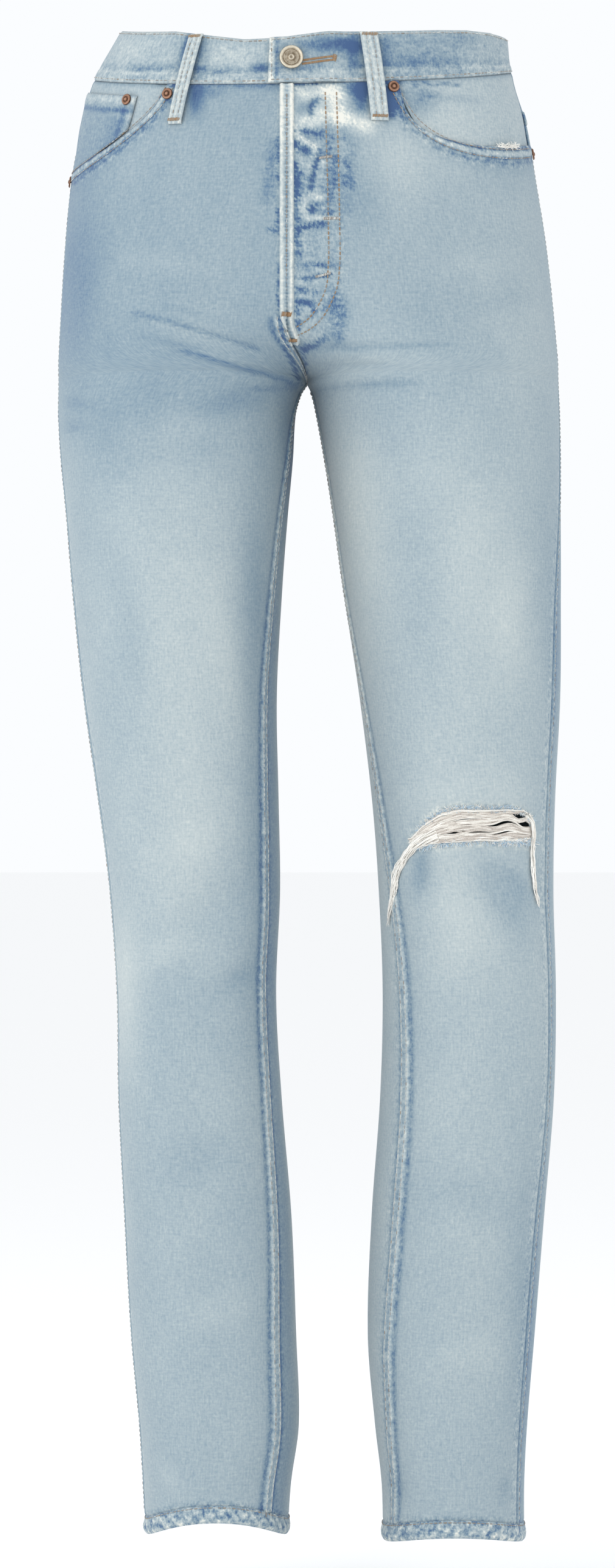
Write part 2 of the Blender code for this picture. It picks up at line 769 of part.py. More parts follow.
def turned(name, profile, place, finish, segments=24):
    """A turned solid that stands on a place of the cloth along its normal."""
    point, normal = place
    side = np.cross(normal, (0, 0, 1))
    side = side / np.linalg.norm(side)
    up = np.cross(side, normal)
    vertices = []
    for ring in profile:
        for k in range(segments):
            turn = 2 * math.pi * k / segments
            arm = side * math.cos(turn) + up * math.sin(turn)
            vertices.append(point + normal * ring.height + arm * ring.radius)
    faces = [tuple(range(segments - 1, -1, -1))]
    for r in range(len(profile) - 1):
        for k in range(segments):
            after = (k + 1) % segments
            low, high = r * segments, (r + 1) * segments
            faces.append((low + k, low + after, high + after, high + k))
    top = (len(profile) - 1) * segments
    faces.append(tuple(range(top, top + segments)))
    made = add_object(name, vertices, faces, finish)
    face_outward(made)
    return made


BUTTON_X = -0.0110
BUTTON_Z = -0.0125


def button():
    angle = oval_at("left", BUTTON_Z).angle_at("front", BUTTON_X)
    place = cloth_point("left", BUTTON_Z, angle, FLAP_LIFT + GAP)
    return turned("button", BUTTON_PROFILE, place, material(*BRASS))


# below is the drop from the waistband's seam
Rivet = namedtuple("Rivet", "name side from_side below")
RIVETS = [
    Rivet("rivet_front_right", "right", 0.1066, 0.0068),
    Rivet("rivet_front_left", "left", 0.1335, 0.0042),
    Rivet("rivet_side_right", "right", 0.0080, 0.0680),
    Rivet("rivet_side_left", "left", 0.0085, 0.0545),
]
COIN_RIVET = Rivet("rivet_coin", "right", 0.0760, 0.0115)


def rivet(spec, out):
    z = seam_above(spec.side, spec.from_side) - spec.below
    place = place_on_front(spec.side, z, spec.from_side, out)
    return turned(spec.name, RIVET_PROFILE, place, material(*COPPER), segments=12)


# ---------------------------------------------------------------- the whole pair


def build_jeans():
    clear_scene()
    for side in SIDES:
        front = leg_panel(side, "front", front_top_z)
        if side == "left":
            cut_rip(front)
        leg_panel(side, "back", back_top_z)
        yoke(side)
        pocket_facing(side)
        back_pocket(side)
        hem(side)
    coin_pocket()
    waistband()
    fly_strip()
    for loop in LOOPS:
        belt_loop(loop)
    button()
    for spec in RIVETS:
        rivet(spec, PATCH_LIFT)
    z = seam_above("right", COIN_RIVET.from_side) - COIN_RIVET.below
    coin_face = facing_out("right", z, COIN_RIVET.from_side) + GAP + CLOTH
    rivet(COIN_RIVET, coin_face + PATCH_LIFT)


build_jeans()
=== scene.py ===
"""The looks of the ripped jeans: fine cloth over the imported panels, with its wear, stitching and rip.

Metres, +Z up. The front faces -Y and the wearer's left leg is on the +X side. Long tables give their
lengths as whole tenths of a millimetre.
"""

import math
from collections import namedtuple

import bpy
import numpy as np
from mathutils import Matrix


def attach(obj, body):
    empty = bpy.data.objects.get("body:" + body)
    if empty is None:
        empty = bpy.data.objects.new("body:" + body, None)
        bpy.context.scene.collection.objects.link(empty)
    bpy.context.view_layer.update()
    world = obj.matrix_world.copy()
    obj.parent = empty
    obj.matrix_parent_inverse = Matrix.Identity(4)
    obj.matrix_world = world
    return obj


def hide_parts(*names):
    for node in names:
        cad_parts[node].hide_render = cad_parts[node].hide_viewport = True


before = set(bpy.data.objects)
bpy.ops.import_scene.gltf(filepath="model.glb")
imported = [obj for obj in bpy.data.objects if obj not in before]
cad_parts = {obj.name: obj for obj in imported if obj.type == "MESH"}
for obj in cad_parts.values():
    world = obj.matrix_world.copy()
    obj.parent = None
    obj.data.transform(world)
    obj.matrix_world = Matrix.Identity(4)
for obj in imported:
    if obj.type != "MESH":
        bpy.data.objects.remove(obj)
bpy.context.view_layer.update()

TENTHS = 10000


def table(kind, rows, lengths=9):
    """Rows of a kind, whose first columns are lengths in tenths of a millimetre."""
    return [kind(*[value / TENTHS for value in row[:lengths]], *row[lengths:]) for row in rows]


# ---------------------------------------------------------------- the body's sizes, as in the solids

CLOTH = 0.0012
BAND = 0.0024
CROTCH_Z = -0.218
HEM_HEIGHT = 0.012
WAISTBAND_HEIGHT = 0.032
OVAL = 2.15
REACH = 2.4
REACH_EASE = 0.004
CENTRE_X = -0.001
FLY_X = -0.0145
FLY_TOP_Y = -0.088
FLY_BOTTOM_Z = -0.188
FLY_STRIP_WIDTH = 0.0095
YOKE_AT_CENTRE = 0.068
YOKE_AT_SIDE = 0.034
SIDES = {"right": -1, "left": 1}

# distances of each leg's edges from the middle, outward positive
Outline = namedtuple("Outline", "z right_outer right_inner left_inner left_outer")
OUTLINE = table(Outline, [
    (350, 1180, 10, -10, 1340),
    (180, 1260, 10, -10, 1340),
    (-150, 1440, 10, -10, 1380),
    (-450, 1520, 10, -10, 1470),
    (-800, 1590, 10, -10, 1530),
    (-1300, 1640, 10, -10, 1610),
    (-2000, 1680, 10, -10, 1680),
    (-2180, 1680, 10, -10, 1685),
    (-2260, 1680, 52, 30, 1687),
    (-2400, 1680, 84, 62, 1690),
    (-2700, 1660, 102, 115, 1695),
    (-3100, 1620, 138, 175, 1700),
    (-3600, 1580, 175, 240, 1700),
    (-4300, 1510, 210, 345, 1695),
    (-5000, 1410, 198, 430, 1660),
    (-5600, 1330, 188, 475, 1650),
    (-6300, 1280, 215, 502, 1668),
    (-7000, 1270, 178, 485, 1655),
    (-7800, 1230, 112, 428, 1590),
    (-8600, 1185, 80, 402, 1525),
    (-9200, 1130, 62, 450, 1475),
    (-9600, 1105, 115, 495, 1455),
    (-10000, 1085, 140, 505, 1455),
])

# depths in y, and how far each crest spreads from the middle to half the leg's width
Depth = namedtuple("Depth", "z front back front_spread back_spread")
DEPTH = table(Depth, [
    (350, -830, 910, 0.00, 0.15),
    (0, -860, 960, 0.00, 0.22),
    (-600, -950, 1120, 0.05, 0.50),
    (-1100, -1010, 1270, 0.20, 0.75),
    (-1600, -1030, 1340, 0.52, 0.90),
    (-1900, -1013, 1298, 0.83, 0.97),
    (-2050, -1001, 1268, 0.96, 0.99),
    (-2180, -990, 1240, 1.00, 1.00),
    (-2350, -977, 1192, 1.00, 1.00),
    (-2700, -950, 1080, 1.00, 1.00),
    (-3400, -910, 910, 1.00, 1.00),
    (-4200, -840, 780, 1.00, 1.00),
    (-5100, -760, 680, 1.00, 1.00),
    (-6000, -670, 640, 1.00, 1.00),
    (-7000, -610, 650, 1.00, 1.00),
    (-8000, -580, 640, 1.00, 1.00),
    (-9000, -580, 620, 1.00, 1.00),
    (-10000, -610, 620, 1.00, 1.00),
], 3)

# degrees by which the seams turn round each leg
Turn = namedtuple("Turn", "z right_outseam right_inseam left_inseam left_outseam")
TURN = table(Turn, [
    (-2180, 0, 0, 0, 0),
    (-2600, 2, 13, 2, 7),
    (-3700, 11, 23, 7, 24),
    (-5000, 14, 29, 20, 29),
    (-5900, 9, 30, 33, 28),
    (-7000, 7, 31, 40, 27),
    (-8000, 6, 35, 40, 30),
    (-8800, 6, 39, 35, 30),
    (-10000, 6, 43, 27, 30),
], 1)

# hip pocket openings: width along the seam, drop at the side, and how square the curve is
Opening = namedtuple("Opening", "width drop curve")
OPENINGS = {"right": Opening(0.102, 0.061, 1.7), "left": Opening(0.1285, 0.0485, 3.3)}

# each leg's mouth: its level, and how far it rises at FRONT_REACH forward of the middle
FRONT_REACH = 0.06
Mouth = namedtuple("Mouth", "level front_rise")
MOUTHS = {"right": Mouth(-0.993, 0.014), "left": Mouth(-0.997, 0.008)}

# the rip's upper and lower edges across the wearer's left knee
RipEdge = namedtuple("RipEdge", "x top bottom")
RIP = table(RipEdge, [
    (690, -5250, -5290),
    (770, -5160, -5292),
    (880, -5082, -5272),
    (1000, -5058, -5262),
    (1150, -5062, -5256),
    (1330, -5062, -5264),
    (1420, -5090, -5268),
    (1470, -5130, -5270),
])

# ---------------------------------------------------------------- the surface, for whole arrays


def hermite(t, start, end, start_slope, end_slope):
    """A cubic from start to end as t goes from 0 to 1, with these slopes over the whole span."""
    value = start * (2 * t**3 - 3 * t**2 + 1) + end * (3 * t**2 - 2 * t**3)
    return value + start_slope * (t**3 - 2 * t**2 + t) + end_slope * (t**3 - t**2)


class Curve:
    """A smooth curve through one column of a table, over height."""

    def __init__(self, rows, name):
        at = np.arange(len(rows))
        self.depth = np.array([-row.z for row in rows])
        self.value = np.array([getattr(row, name) for row in rows], float)
        low = np.maximum(at - 1, 0)
        high = np.minimum(at + 1, at[-1])
        self.slope = (self.value[high] - self.value[low]) / (self.depth[high] - self.depth[low])

    def __call__(self, z):
        at = np.clip(-np.asarray(z, float), self.depth[0], self.depth[-1])
        k = np.clip(np.searchsorted(self.depth, at) - 1, 0, len(self.depth) - 2)
        step = self.depth[k + 1] - self.depth[k]
        slopes = step * self.slope[k], step * self.slope[k + 1]
        return hermite((at - self.depth[k]) / step, self.value[k], self.value[k + 1], *slopes)


CURVES = {
    name: Curve(rows, name) for rows in (OUTLINE, DEPTH, TURN) for name in rows[0]._fields if name != "z"
}


def smooth(value):
    value = np.clip(value, 0.0, 1.0)
    return value * value * (3 - 2 * value)


def bump(distance, width):
    """A soft hill, 1 in its middle."""
    return np.exp(-((distance / width) ** 2))


def hills(distance, *rows):
    """Soft hills over a distance: rows of amount, then middle and width in tenths of a millimetre."""
    return sum(amount * bump(distance - middle / TENTHS, width / TENTHS) for amount, middle, width in rows)


def ridge(distance, width, soft=0.0008):
    """1 between 0 and width, with soft edges."""
    return smooth(distance / soft) * smooth((width - distance) / soft)


def unit(vectors):
    return vectors / np.linalg.norm(vectors, axis=-1, keepdims=True)


def wrapped(angle):
    return (angle + math.pi) % (2 * math.pi) - math.pi


def column(rows, name):
    return [getattr(row, name) for row in rows]


def front_centre(z):
    t = (FLY_BOTTOM_Z - np.asarray(z, float)) / (FLY_BOTTOM_Z - CROTCH_Z)
    return FLY_X + (CENTRE_X - FLY_X) * smooth(t)


def oval_parts(side, z, is_front):
    """Outer edge, crest, inner edge, middle and far depth of an oval, outward positive in x."""
    z = np.asarray(z, float)
    outer, front, back = [CURVES[name](z) for name in (side + "_outer", "front", "back")]
    centre = SIDES[side] * np.where(is_front, front_centre(z), CENTRE_X)
    spread = np.where(is_front, CURVES["front_spread"](z), CURVES["back_spread"](z))
    above = z > CROTCH_Z
    climb = np.maximum(z - CROTCH_Z, 0.0)
    grown = REACH * (climb - REACH_EASE * (1 - np.exp(-climb / REACH_EASE)))
    inner = np.where(above, centre - grown, CURVES[side + "_inner"](z))
    crest = np.where(above, centre + spread * (outer - centre) / 2, (outer + inner) / 2)
    return outer, crest, inner, centre, (front + back) / 2, np.where(is_front, front, back)


def oval_point(side, z, angle):
    """x and y at an angle: 0 at the side, positive over the front and negative over the back."""
    angle = wrapped(angle)
    outer, crest, inner, _, middle, depth = oval_parts(side, z, angle >= 0)
    across = np.cos(angle)
    far = np.where(across >= 0, outer, inner)
    x = crest + (far - crest) * np.abs(across) ** (2 / OVAL)
    y = middle + (depth - middle) * np.abs(np.sin(angle)) ** (2 / OVAL)
    return SIDES[side] * x, y


def angle_at_x(side, face, z, x):
    """The angle at which this face of a leg passes x."""
    outer, crest, inner, _, _, _ = oval_parts(side, z, face == "front")
    away = SIDES[side] * np.asarray(x, float) - crest
    far = np.where(away >= 0, outer - crest, crest - inner)
    across = np.minimum(np.abs(away) / far, 1.0) ** (OVAL / 2)
    angle = np.arccos(np.copysign(across, away))
    return angle if face == "front" else -angle


def bare_point(side, z, angle):
    x, y = oval_point(side, z, angle)
    return np.stack(np.broadcast_arrays(x, y, z), axis=-1)


def normal_at(side, z, angle):
    """The outward normals of the unfolded surface."""
    z, angle = np.broadcast_arrays(np.asarray(z, float), angle)
    up = np.where(z >= CROTCH_Z, 0.0008, -0.0008)
    along = bare_point(side, z, angle + 0.02) - bare_point(side, z, angle - 0.02)
    climb = (bare_point(side, z + up, angle) - bare_point(side, z, angle)) * np.sign(up)[..., None]
    return unit(np.cross(climb, along) * SIDES[side])


def seam_angles(side, face, z):
    """The angles of a panel's inner seam and outseam."""
    z = np.asarray(z, float)
    _, crest, inner, centre, _, _ = oval_parts(side, z, face == "front")
    share = np.clip((crest - centre) / (crest - inner), 0.0, 1.0)
    sign = 1 if face == "front" else -1
    cut = sign * (math.pi - np.arccos(share ** (OVAL / 2)))
    turned = sign * math.pi - np.radians(CURVES[side + "_inseam"](z))
    outseam = np.where(z > CROTCH_Z, 0.0, np.radians(CURVES[side + "_outseam"](z)))
    return np.where(z > CROTCH_Z, cut, turned), outseam


ARC_STEPS = 61


def arc_marks(side, face, z):
    """Angles across a panel and their distances from its inner seam, on a last axis of its own."""
    inner, outer = seam_angles(side, face, z)
    angles = inner[..., None] + (outer - inner)[..., None] * np.linspace(0, 1, ARC_STEPS)
    x, y = oval_point(side, np.asarray(z, float)[..., None], angles)
    steps = np.hypot(np.diff(x, axis=-1), np.diff(y, axis=-1))
    return angles, np.concatenate([np.zeros(steps.shape[:-1] + (1,)), np.cumsum(steps, axis=-1)], axis=-1)


def read_at(want, marks, values):
    """Reads values against marks at want, along the last axis."""
    k = np.clip((marks < want[..., None]).sum(-1) - 1, 0, marks.shape[-1] - 2)[..., None]
    low, high = [np.take_along_axis(marks, k + step, -1)[..., 0] for step in (0, 1)]
    start, end = [np.take_along_axis(values, k + step, -1)[..., 0] for step in (0, 1)]
    return start + (end - start) * (want - low) / (high - low)


def panel_angle(side, face, z, share):
    """Angles at shares of a panel's width from its inner seam, and the widths."""
    z, share = np.broadcast_arrays(np.asarray(z, float), share)
    angles, marks = arc_marks(side, face, z)
    return read_at(share * marks[..., -1], marks, angles), marks[..., -1]


def angle_from_side(side, face, z, distance):
    """Angles at distances from a panel's outseam."""
    z, distance = np.broadcast_arrays(np.asarray(z, float), distance)
    angles, marks = arc_marks(side, face, z)
    return read_at(marks[..., -1] - distance, marks, angles)


def waist_seam_z(x, y):
    """The height of the waistband's seam, which is lowest at the front."""
    soft = 0.03
    return -0.0125 + 0.018 * x + 0.115 * y - 0.085 * (np.hypot(y, soft) - soft)


def hem_z(side, y):
    """The height of a leg's mouth, which curves at the front."""
    return MOUTHS[side].level + MOUTHS[side].front_rise * (np.minimum(y, 0.0) / FRONT_REACH) ** 2


def level_at(side, face, share, height):
    """The z at shares of a panel's width where it meets a line whose height depends on x and y."""
    share = np.asarray(share, float)
    z = np.full(share.shape, -0.02)
    for _ in range(5):
        z = height(*oval_point(side, z, panel_angle(side, face, z, share)[0]))
    return z


def level_round(side, angle, up):
    """The z round a leg at heights above its mouth."""
    z = np.full(angle.shape, MOUTHS[side].level)
    for _ in range(6):
        z = hem_z(side, oval_point(side, z, angle)[1]) + up
    return z


def seam_above(side, from_seam):
    """The waistband's seam over places on a front panel."""
    z = np.full(np.shape(from_seam), -0.02)
    for _ in range(5):
        z = waist_seam_z(*oval_point(side, z, angle_from_side(side, "front", z, from_seam)))
    return z


def opening_drop(side, from_seam):
    """How far a hip pocket opening is cut down below the waistband's seam."""
    opening = OPENINGS[side]
    share = np.clip(from_seam / opening.width, 0.0, 1.0)
    return opening.drop * (1 - share**opening.curve) ** (1 / opening.curve)


def opening_curve(side):
    """The pocket opening's edge, as distances from the outseam and heights."""
    turn = np.linspace(0, math.pi / 2, 90)
    from_seam = OPENINGS[side].width * np.cos(turn) ** (2 / OPENINGS[side].curve)
    drop = opening_drop(side, from_seam)
    return from_seam, seam_above(side, from_seam) - drop


# lines across a panel, by side, face and share of its width


def waist_line(side, face, share):
    return level_at(side, face, share, waist_seam_z)


def front_line(side, face, share):
    seam = waist_line(side, face, share)
    return seam - opening_drop(side, (1 - share) * panel_angle(side, face, seam, share)[1])


def yoke_line(side, face, share):
    return waist_line(side, face, share) - (YOKE_AT_CENTRE + (YOKE_AT_SIDE - YOKE_AT_CENTRE) * share)


def hem_line(side, face, share):
    return level_at(side, face, share, lambda _x, y: hem_z(side, y) + HEM_HEIGHT)


# ---------------------------------------------------------------- folds, as soft troughs and ridges

# seen from the front or the back; height is negative in a trough
Fold = namedtuple("Fold", "start_x start_z end_x end_z width height")

# the largest, as in the solids
FOLDS = {
    "front": table(Fold, [
        (-1120, -1720, -300, -1970, 110, 22),
        (-800, -1960, -60, -2140, 100, -26),
        (200, -2060, 920, -1960, 120, 18),
        (-850, -5900, -360, -5530, 180, -30),
        (750, -5530, 1500, -5630, 160, -32),
        (700, -4980, 1500, -4940, 140, 22),
    ]),
    "back": table(Fold, [
        (-1350, -2320, -350, -2460, 140, -34),
        (350, -2460, 1350, -2300, 140, -34),
        (-1200, -5050, -400, -5150, 160, -40),
        (650, -5120, 1450, -5000, 160, -40),
        (-1180, -5450, -450, -5600, 140, -26),
        (700, -5600, 1450, -5450, 140, -26),
    ]),
}

# smaller creases of the hips, the legs and the ankles
CREASES = {
    "front": table(Fold, [
        # whiskers of the wearer's right thigh
        (-1150, -1800, -330, -2050, 26, -12),
        (-830, -2060, -80, -2235, 26, -13),
        (-1000, -1745, -400, -1900, 22, -6),
        (-400, -2150, -90, -2210, 20, -8),
        (-1100, -1950, -600, -2080, 24, -6),
        (-1000, -1890, -500, -2030, 60, 8),
        (-1200, -1430, -600, -1520, 70, 6),
        (-1620, -2350, -1420, -2400, 45, -10),
        (-1640, -2510, -1460, -2530, 45, -10),
        (-700, -2430, -220, -2300, 80, -12),
        (-1150, -2600, -500, -2520, 120, 9),
        # whiskers of the wearer's left thigh
        (-40, -2020, 920, -2020, 30, -8),
        (50, -2270, 700, -2270, 30, -9),
        (120, -2120, 600, -2150, 24, -6),
        (300, -2150, 900, -2120, 80, 7),
        (900, -1500, 1450, -1420, 80, 5),
        (1000, -1750, 1550, -1640, 80, -5),
        # thighs, long and shallow
        (-600, -3600, -450, -4600, 140, 9),
        (-1250, -3300, -1100, -4300, 120, -7),
        (700, -3100, 850, -4400, 160, -8),
        (1350, -3400, 1300, -4300, 120, 7),
        # knees
        (-960, -5350, -550, -5200, 120, 7),
        (-1150, -6100, -800, -5930, 110, 10),
        (-600, -6250, -320, -6120, 90, -10),
        (720, -5240, 1520, -5240, 50, 8),
        (1230, -5480, 1440, -5600, 70, -11),
        (765, -5310, 735, -5620, 60, -16),
        (1180, -5370, 1400, -5880, 120, -18),
        (980, -5350, 1050, -6150, 140, 8),
        # shins and ankles
        (-960, -7450, -560, -7300, 140, -7),
        (-780, -8450, -400, -8320, 130, 7),
        (750, -7550, 1300, -7700, 140, -7),
        (800, -8750, 1230, -8620, 130, 7),
        (560, -9480, 610, -9650, 50, -12),
        (1330, -9500, 1290, -9660, 50, -12),
        (-980, -9400, -880, -9600, 60, 8),
    ]),
    "back": table(Fold, [
        # under the seat, behind the knees and at the back of the calves
        (-1300, -2550, -500, -2680, 90, 12),
        (500, -2680, 1300, -2530, 90, 12),
        (-1250, -2850, -450, -2820, 90, -10),
        (500, -2820, 1250, -2850, 90, -10),
        (-1200, -4780, -500, -4880, 100, 14),
        (700, -4850, 1450, -4740, 100, 14),
        (-1180, -5250, -450, -5350, 80, 14),
        (700, -5350, 1420, -5220, 80, 14),
        (-1100, -5850, -450, -5930, 100, -12),
        (720, -5900, 1380, -5780, 100, -12),
        (-1050, -7000, -500, -7120, 140, -8),
        (750, -7100, 1300, -6980, 140, -8),
        (-1000, -8800, -500, -8700, 120, 8),
        (750, -8700, 1250, -8800, 120, 8),
    ]),
}

# puckers of the fly's stitched facing
PUCKERS = {
    "front": table(Fold, [
        (40, -380, 14, -440, 17, -14),
        (14, -440, 16, -505, 16, -14),
        (75, -440, 85, -520, 30, 8),
        (-75, -620, -20, -690, 20, 15),
        (-20, -690, 56, -735, 19, 15),
        (-60, -740, 10, -755, 26, -10),
        (15, -615, 70, -645, 28, -10),
        (80, -742, 56, -815, 18, -13),
        (56, -815, 16, -1000, 18, -13),
        (-40, -800, -10, -880, 32, 9),
        (-30, -1140, -20, -1065, 20, 11),
        (-20, -1065, 115, -1045, 20, 11),
        (30, -1110, 55, -1130, 24, -13),
        (-10, -1185, 165, -1190, 18, 10),
        (-65, -1250, 90, -1225, 20, -12),
        (90, -1300, 180, -1310, 22, 5),
        (20, -1480, 175, -1500, 14, -7),
        (-40, -1575, 150, -1560, 14, -10),
        (10, -1535, 160, -1530, 17, 8),
        (-70, -1650, 60, -1670, 18, -8),
        (-60, -1610, 100, -1615, 22, 7),
        (-70, -1745, 35, -1745, 18, -10),
        (-50, -1805, 60, -1770, 24, 7),
        (-40, -2020, 10, -2020, 14, -8),
        (260, -700, 320, -740, 20, 6),
        (240, -790, 330, -830, 20, -6),
        (270, -910, 330, -940, 26, 5),
    ]),
}


def along_segment(x, z, x0, z0, x1, z1):
    """The share of a segment's length nearest to each point, and the distance from there."""
    run_x, run_z = x1 - x0, z1 - z0
    near = np.clip(((x - x0) * run_x + (z - z0) * run_z) / (run_x**2 + run_z**2), 0, 1)
    return near, np.hypot(x - x0 - near * run_x, z - z0 - near * run_z)


def fold_height(is_front, x, z, *groups):
    """How far groups of folds lift the cloth."""
    total = np.zeros(np.broadcast(x, z).shape)
    for group in groups:
        for face, folds in group.items():
            on_face = is_front == (face == "front")
            for fold in folds:
                near, away = along_segment(x, z, *fold[:4])
                hill = bump(away, fold.width) * (0.4 + 0.6 * np.sin(math.pi * near))
                total += np.where(on_face, fold.height * hill, 0.0)
    return total


def cloth_point(side, z, angle, out=0.0):
    """Points of the folded cloth, moved out along its normals, and those normals."""
    point = bare_point(side, z, angle)
    normal = normal_at(side, z, angle)
    lift = fold_height(wrapped(angle) >= 0, point[..., 0], point[..., 2], FOLDS, CREASES, PUCKERS)
    lift = lift * np.abs(np.sin(angle))
    return point + normal * (lift + out)[..., None], normal


# ---------------------------------------------------------------- meshes


def new_object(name, data):
    made = bpy.data.objects.new(name, data)
    bpy.context.scene.collection.objects.link(made)
    return made


def mesh_object(name, points, faces, finish, values):
    """A smooth mesh with values at its points."""
    mesh = bpy.data.meshes.new(name)
    mesh.from_pydata(points.reshape(-1, 3).tolist(), [], faces)
    for key, value in values.items():
        layer = mesh.attributes.new(key, "FLOAT", "POINT")
        layer.data.foreach_set("value", value.astype(np.float32).ravel())
    mesh.materials.append(finish)
    mesh.shade_smooth()
    return new_object(name, mesh)


def stand_for(piece, slot, *nodes):
    """Makes a piece ride on the body in place of these nodes."""
    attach(piece, "root")
    if nodes:
        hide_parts(*nodes)
    return piece


def grid_faces(points, normals, ring=False, hole=None):
    """The faces of a rows by columns grid, turned to the side of its normals, without the cells in hole."""
    rows, columns = points.shape[:2]
    last = columns if ring else columns - 1
    r, c = np.meshgrid(np.arange(rows - 1), np.arange(last), indexing="ij")
    start, end = r * columns + c, r * columns + (c + 1) % columns
    faces = np.stack([start, start + columns, end + columns, end], -1)
    down = points[1:, :last] - points[:-1, :last]
    across = np.roll(points, -1, 1)[:-1, :last] - points[:-1, :last]
    if (np.cross(down, across) * normals[:-1, :last]).sum() < 0:
        faces = faces[..., ::-1]
    return faces[~hole] if hole is not None else faces.reshape(-1, 4)


def cloth_piece(node, place, uv, fade, roping, wall=CLOTH, worn=False, ring=False, hole=None):
    """Cloth in place of a node: points and normals on a grid, UVs in metres, fade with its painted shading,
    and roping.
    """
    points, normals = place
    faces = grid_faces(points, normals, ring, hole)
    shape = points.shape[:2]
    values = {"fade": np.broadcast_to(fade, shape), "roping": np.broadcast_to(roping, shape)}
    piece = mesh_object(node + "_cloth", points, faces.tolist(), edge_denim if worn else body_denim, values)
    uv = np.stack(np.broadcast_arrays(*uv), -1)
    flat = uv.reshape(-1, 2)[faces]
    if ring:
        girth = uv[0, -1, 0] + uv[0, 1, 0] - 2 * uv[0, 0, 0]
        at = faces % points.shape[1]
        wraps = (at.max(-1) - at.min(-1) > 1)[:, None]
        flat[..., 0] += np.where(wraps & (at == 0), girth, 0.0)
    piece.data.uv_layers.new(name="Cloth").data.foreach_set("uv", flat.astype(np.float32).ravel())
    thickness = piece.modifiers.new("thickness", "SOLIDIFY")
    thickness.thickness = wall
    thickness.offset = -1
    thickness.use_rim = True
    return stand_for(piece, "denim_worn_edge" if worn else "denim", node)


class Tubes:
    """Many short tubes gathered into one mesh, with a tone for each."""

    def __init__(self, name, slot, finish, capped):
        self.name, self.slot, self.finish, self.capped = name, slot, finish, capped
        self.rings, self.faces, self.tones, self.count = [], [], [], 0

    def add(self, rings, tones):
        """Adds tubes from their points, by tube, ring and side."""
        amount, steps, sides = rings.shape[:3]
        s, k = np.meshgrid(np.arange(steps - 1), np.arange(sides), indexing="ij")
        start, end = s * sides + k, s * sides + (k + 1) % sides
        kinds = [np.stack([start, end, end + sides, start + sides], -1).reshape(-1, 4)]
        if self.capped:
            kinds.append(np.array([np.arange(sides)[::-1], np.arange(sides) + (steps - 1) * sides]))
        first = self.count + np.arange(amount)[:, None, None] * steps * sides
        for kind in kinds:
            self.faces += (kind + first).reshape(-1, kind.shape[1]).tolist()
        self.rings.append(rings.reshape(-1, 3))
        self.tones.append(np.repeat(tones, steps * sides))
        self.count += amount * steps * sides

    def finished(self):
        values = {"tone": np.concatenate(self.tones)}
        piece = mesh_object(self.name, np.concatenate(self.rings), self.faces, self.finish, values)
        return stand_for(piece, self.slot)


# ---------------------------------------------------------------- materials


class Nodes:
    """A material's node tree, written as nested calls."""

    def __init__(self, name):
        self.material = bpy.data.materials.new(name)
        self.material.use_nodes = True
        self.tree = self.material.node_tree
        self.shader = self.tree.nodes["Principled BSDF"]

    def put(self, socket, value):
        if isinstance(value, bpy.types.NodeSocket):
            self.tree.links.new(value, socket)
        else:
            socket.default_value = value

    def add(self, kind, inputs=(), **settings):
        node = self.tree.nodes.new(kind)
        for key, value in settings.items():
            setattr(node, key, value)
        for key, value in dict(inputs).items():
            self.put(node.inputs[key], value)
        return node

    def value(self, name):
        return self.add("ShaderNodeAttribute", attribute_name=name).outputs["Fac"]

    def math(self, operation, a, b=0.0, c=0.0):
        return self.add("ShaderNodeMath", {0: a, 1: b, 2: c}, operation=operation).outputs[0]

    def vary(self, base, pattern, amount):
        """The base, moved up and down by an amount of a pattern."""
        return self.math("MULTIPLY_ADD", self.math("SUBTRACT", pattern, 0.5), amount, base)

    def cloth_noise(self, across, along, detail, roughness):
        """Noise over the cloth, with features of this many metres each way."""
        uv = self.add("ShaderNodeUVMap", uv_map="Cloth").outputs[0]
        scale = (1 / across, 1 / along, 1.0)
        where = self.add("ShaderNodeVectorMath", {0: uv, 1: scale}, operation="MULTIPLY").outputs[0]
        inputs = {"Vector": where, "Scale": 1.0, "Detail": detail, "Roughness": roughness}
        return self.add("ShaderNodeTexNoise", inputs).outputs[0]

    def grain(self, scale, detail):
        """Noise through the material."""
        where = self.add("ShaderNodeTexCoord").outputs["Object"]
        inputs = {"Vector": where, "Scale": scale, "Detail": detail}
        return self.add("ShaderNodeTexNoise", inputs).outputs[0]

    def ramp(self, factor, stops):
        node = self.add("ShaderNodeValToRGB", {"Fac": factor})
        while len(node.color_ramp.elements) < len(stops):
            node.color_ramp.elements.new(0.5)
        for element, (place, color) in zip(node.color_ramp.elements, stops):
            element.position = place
            element.color = (*color, 1.0)
        return node.outputs[0]

    def finish(self, color, roughness, height, distance, strength, **uniform):
        """The material, with a bump of this height and the shader's uniform values."""
        inputs = {"Height": height, "Distance": distance, "Strength": strength}
        normal = self.add("ShaderNodeBump", inputs).outputs[0]
        values = {"Base Color": color, "Roughness": roughness, "Normal": normal}
        for name, value in {**values, **uniform}.items():
            self.put(self.shader.inputs[name.replace("_", " ")], value)
        return self.material


INDIGO = [
    (0.00, (0.040, 0.085, 0.190)),
    (0.20, (0.084, 0.152, 0.240)),
    (0.40, (0.182, 0.252, 0.302)),
    (0.60, (0.292, 0.352, 0.380)),
    (0.75, (0.382, 0.432, 0.440)),
    (0.90, (0.498, 0.528, 0.506)),
    (1.00, (0.620, 0.620, 0.570)),
]


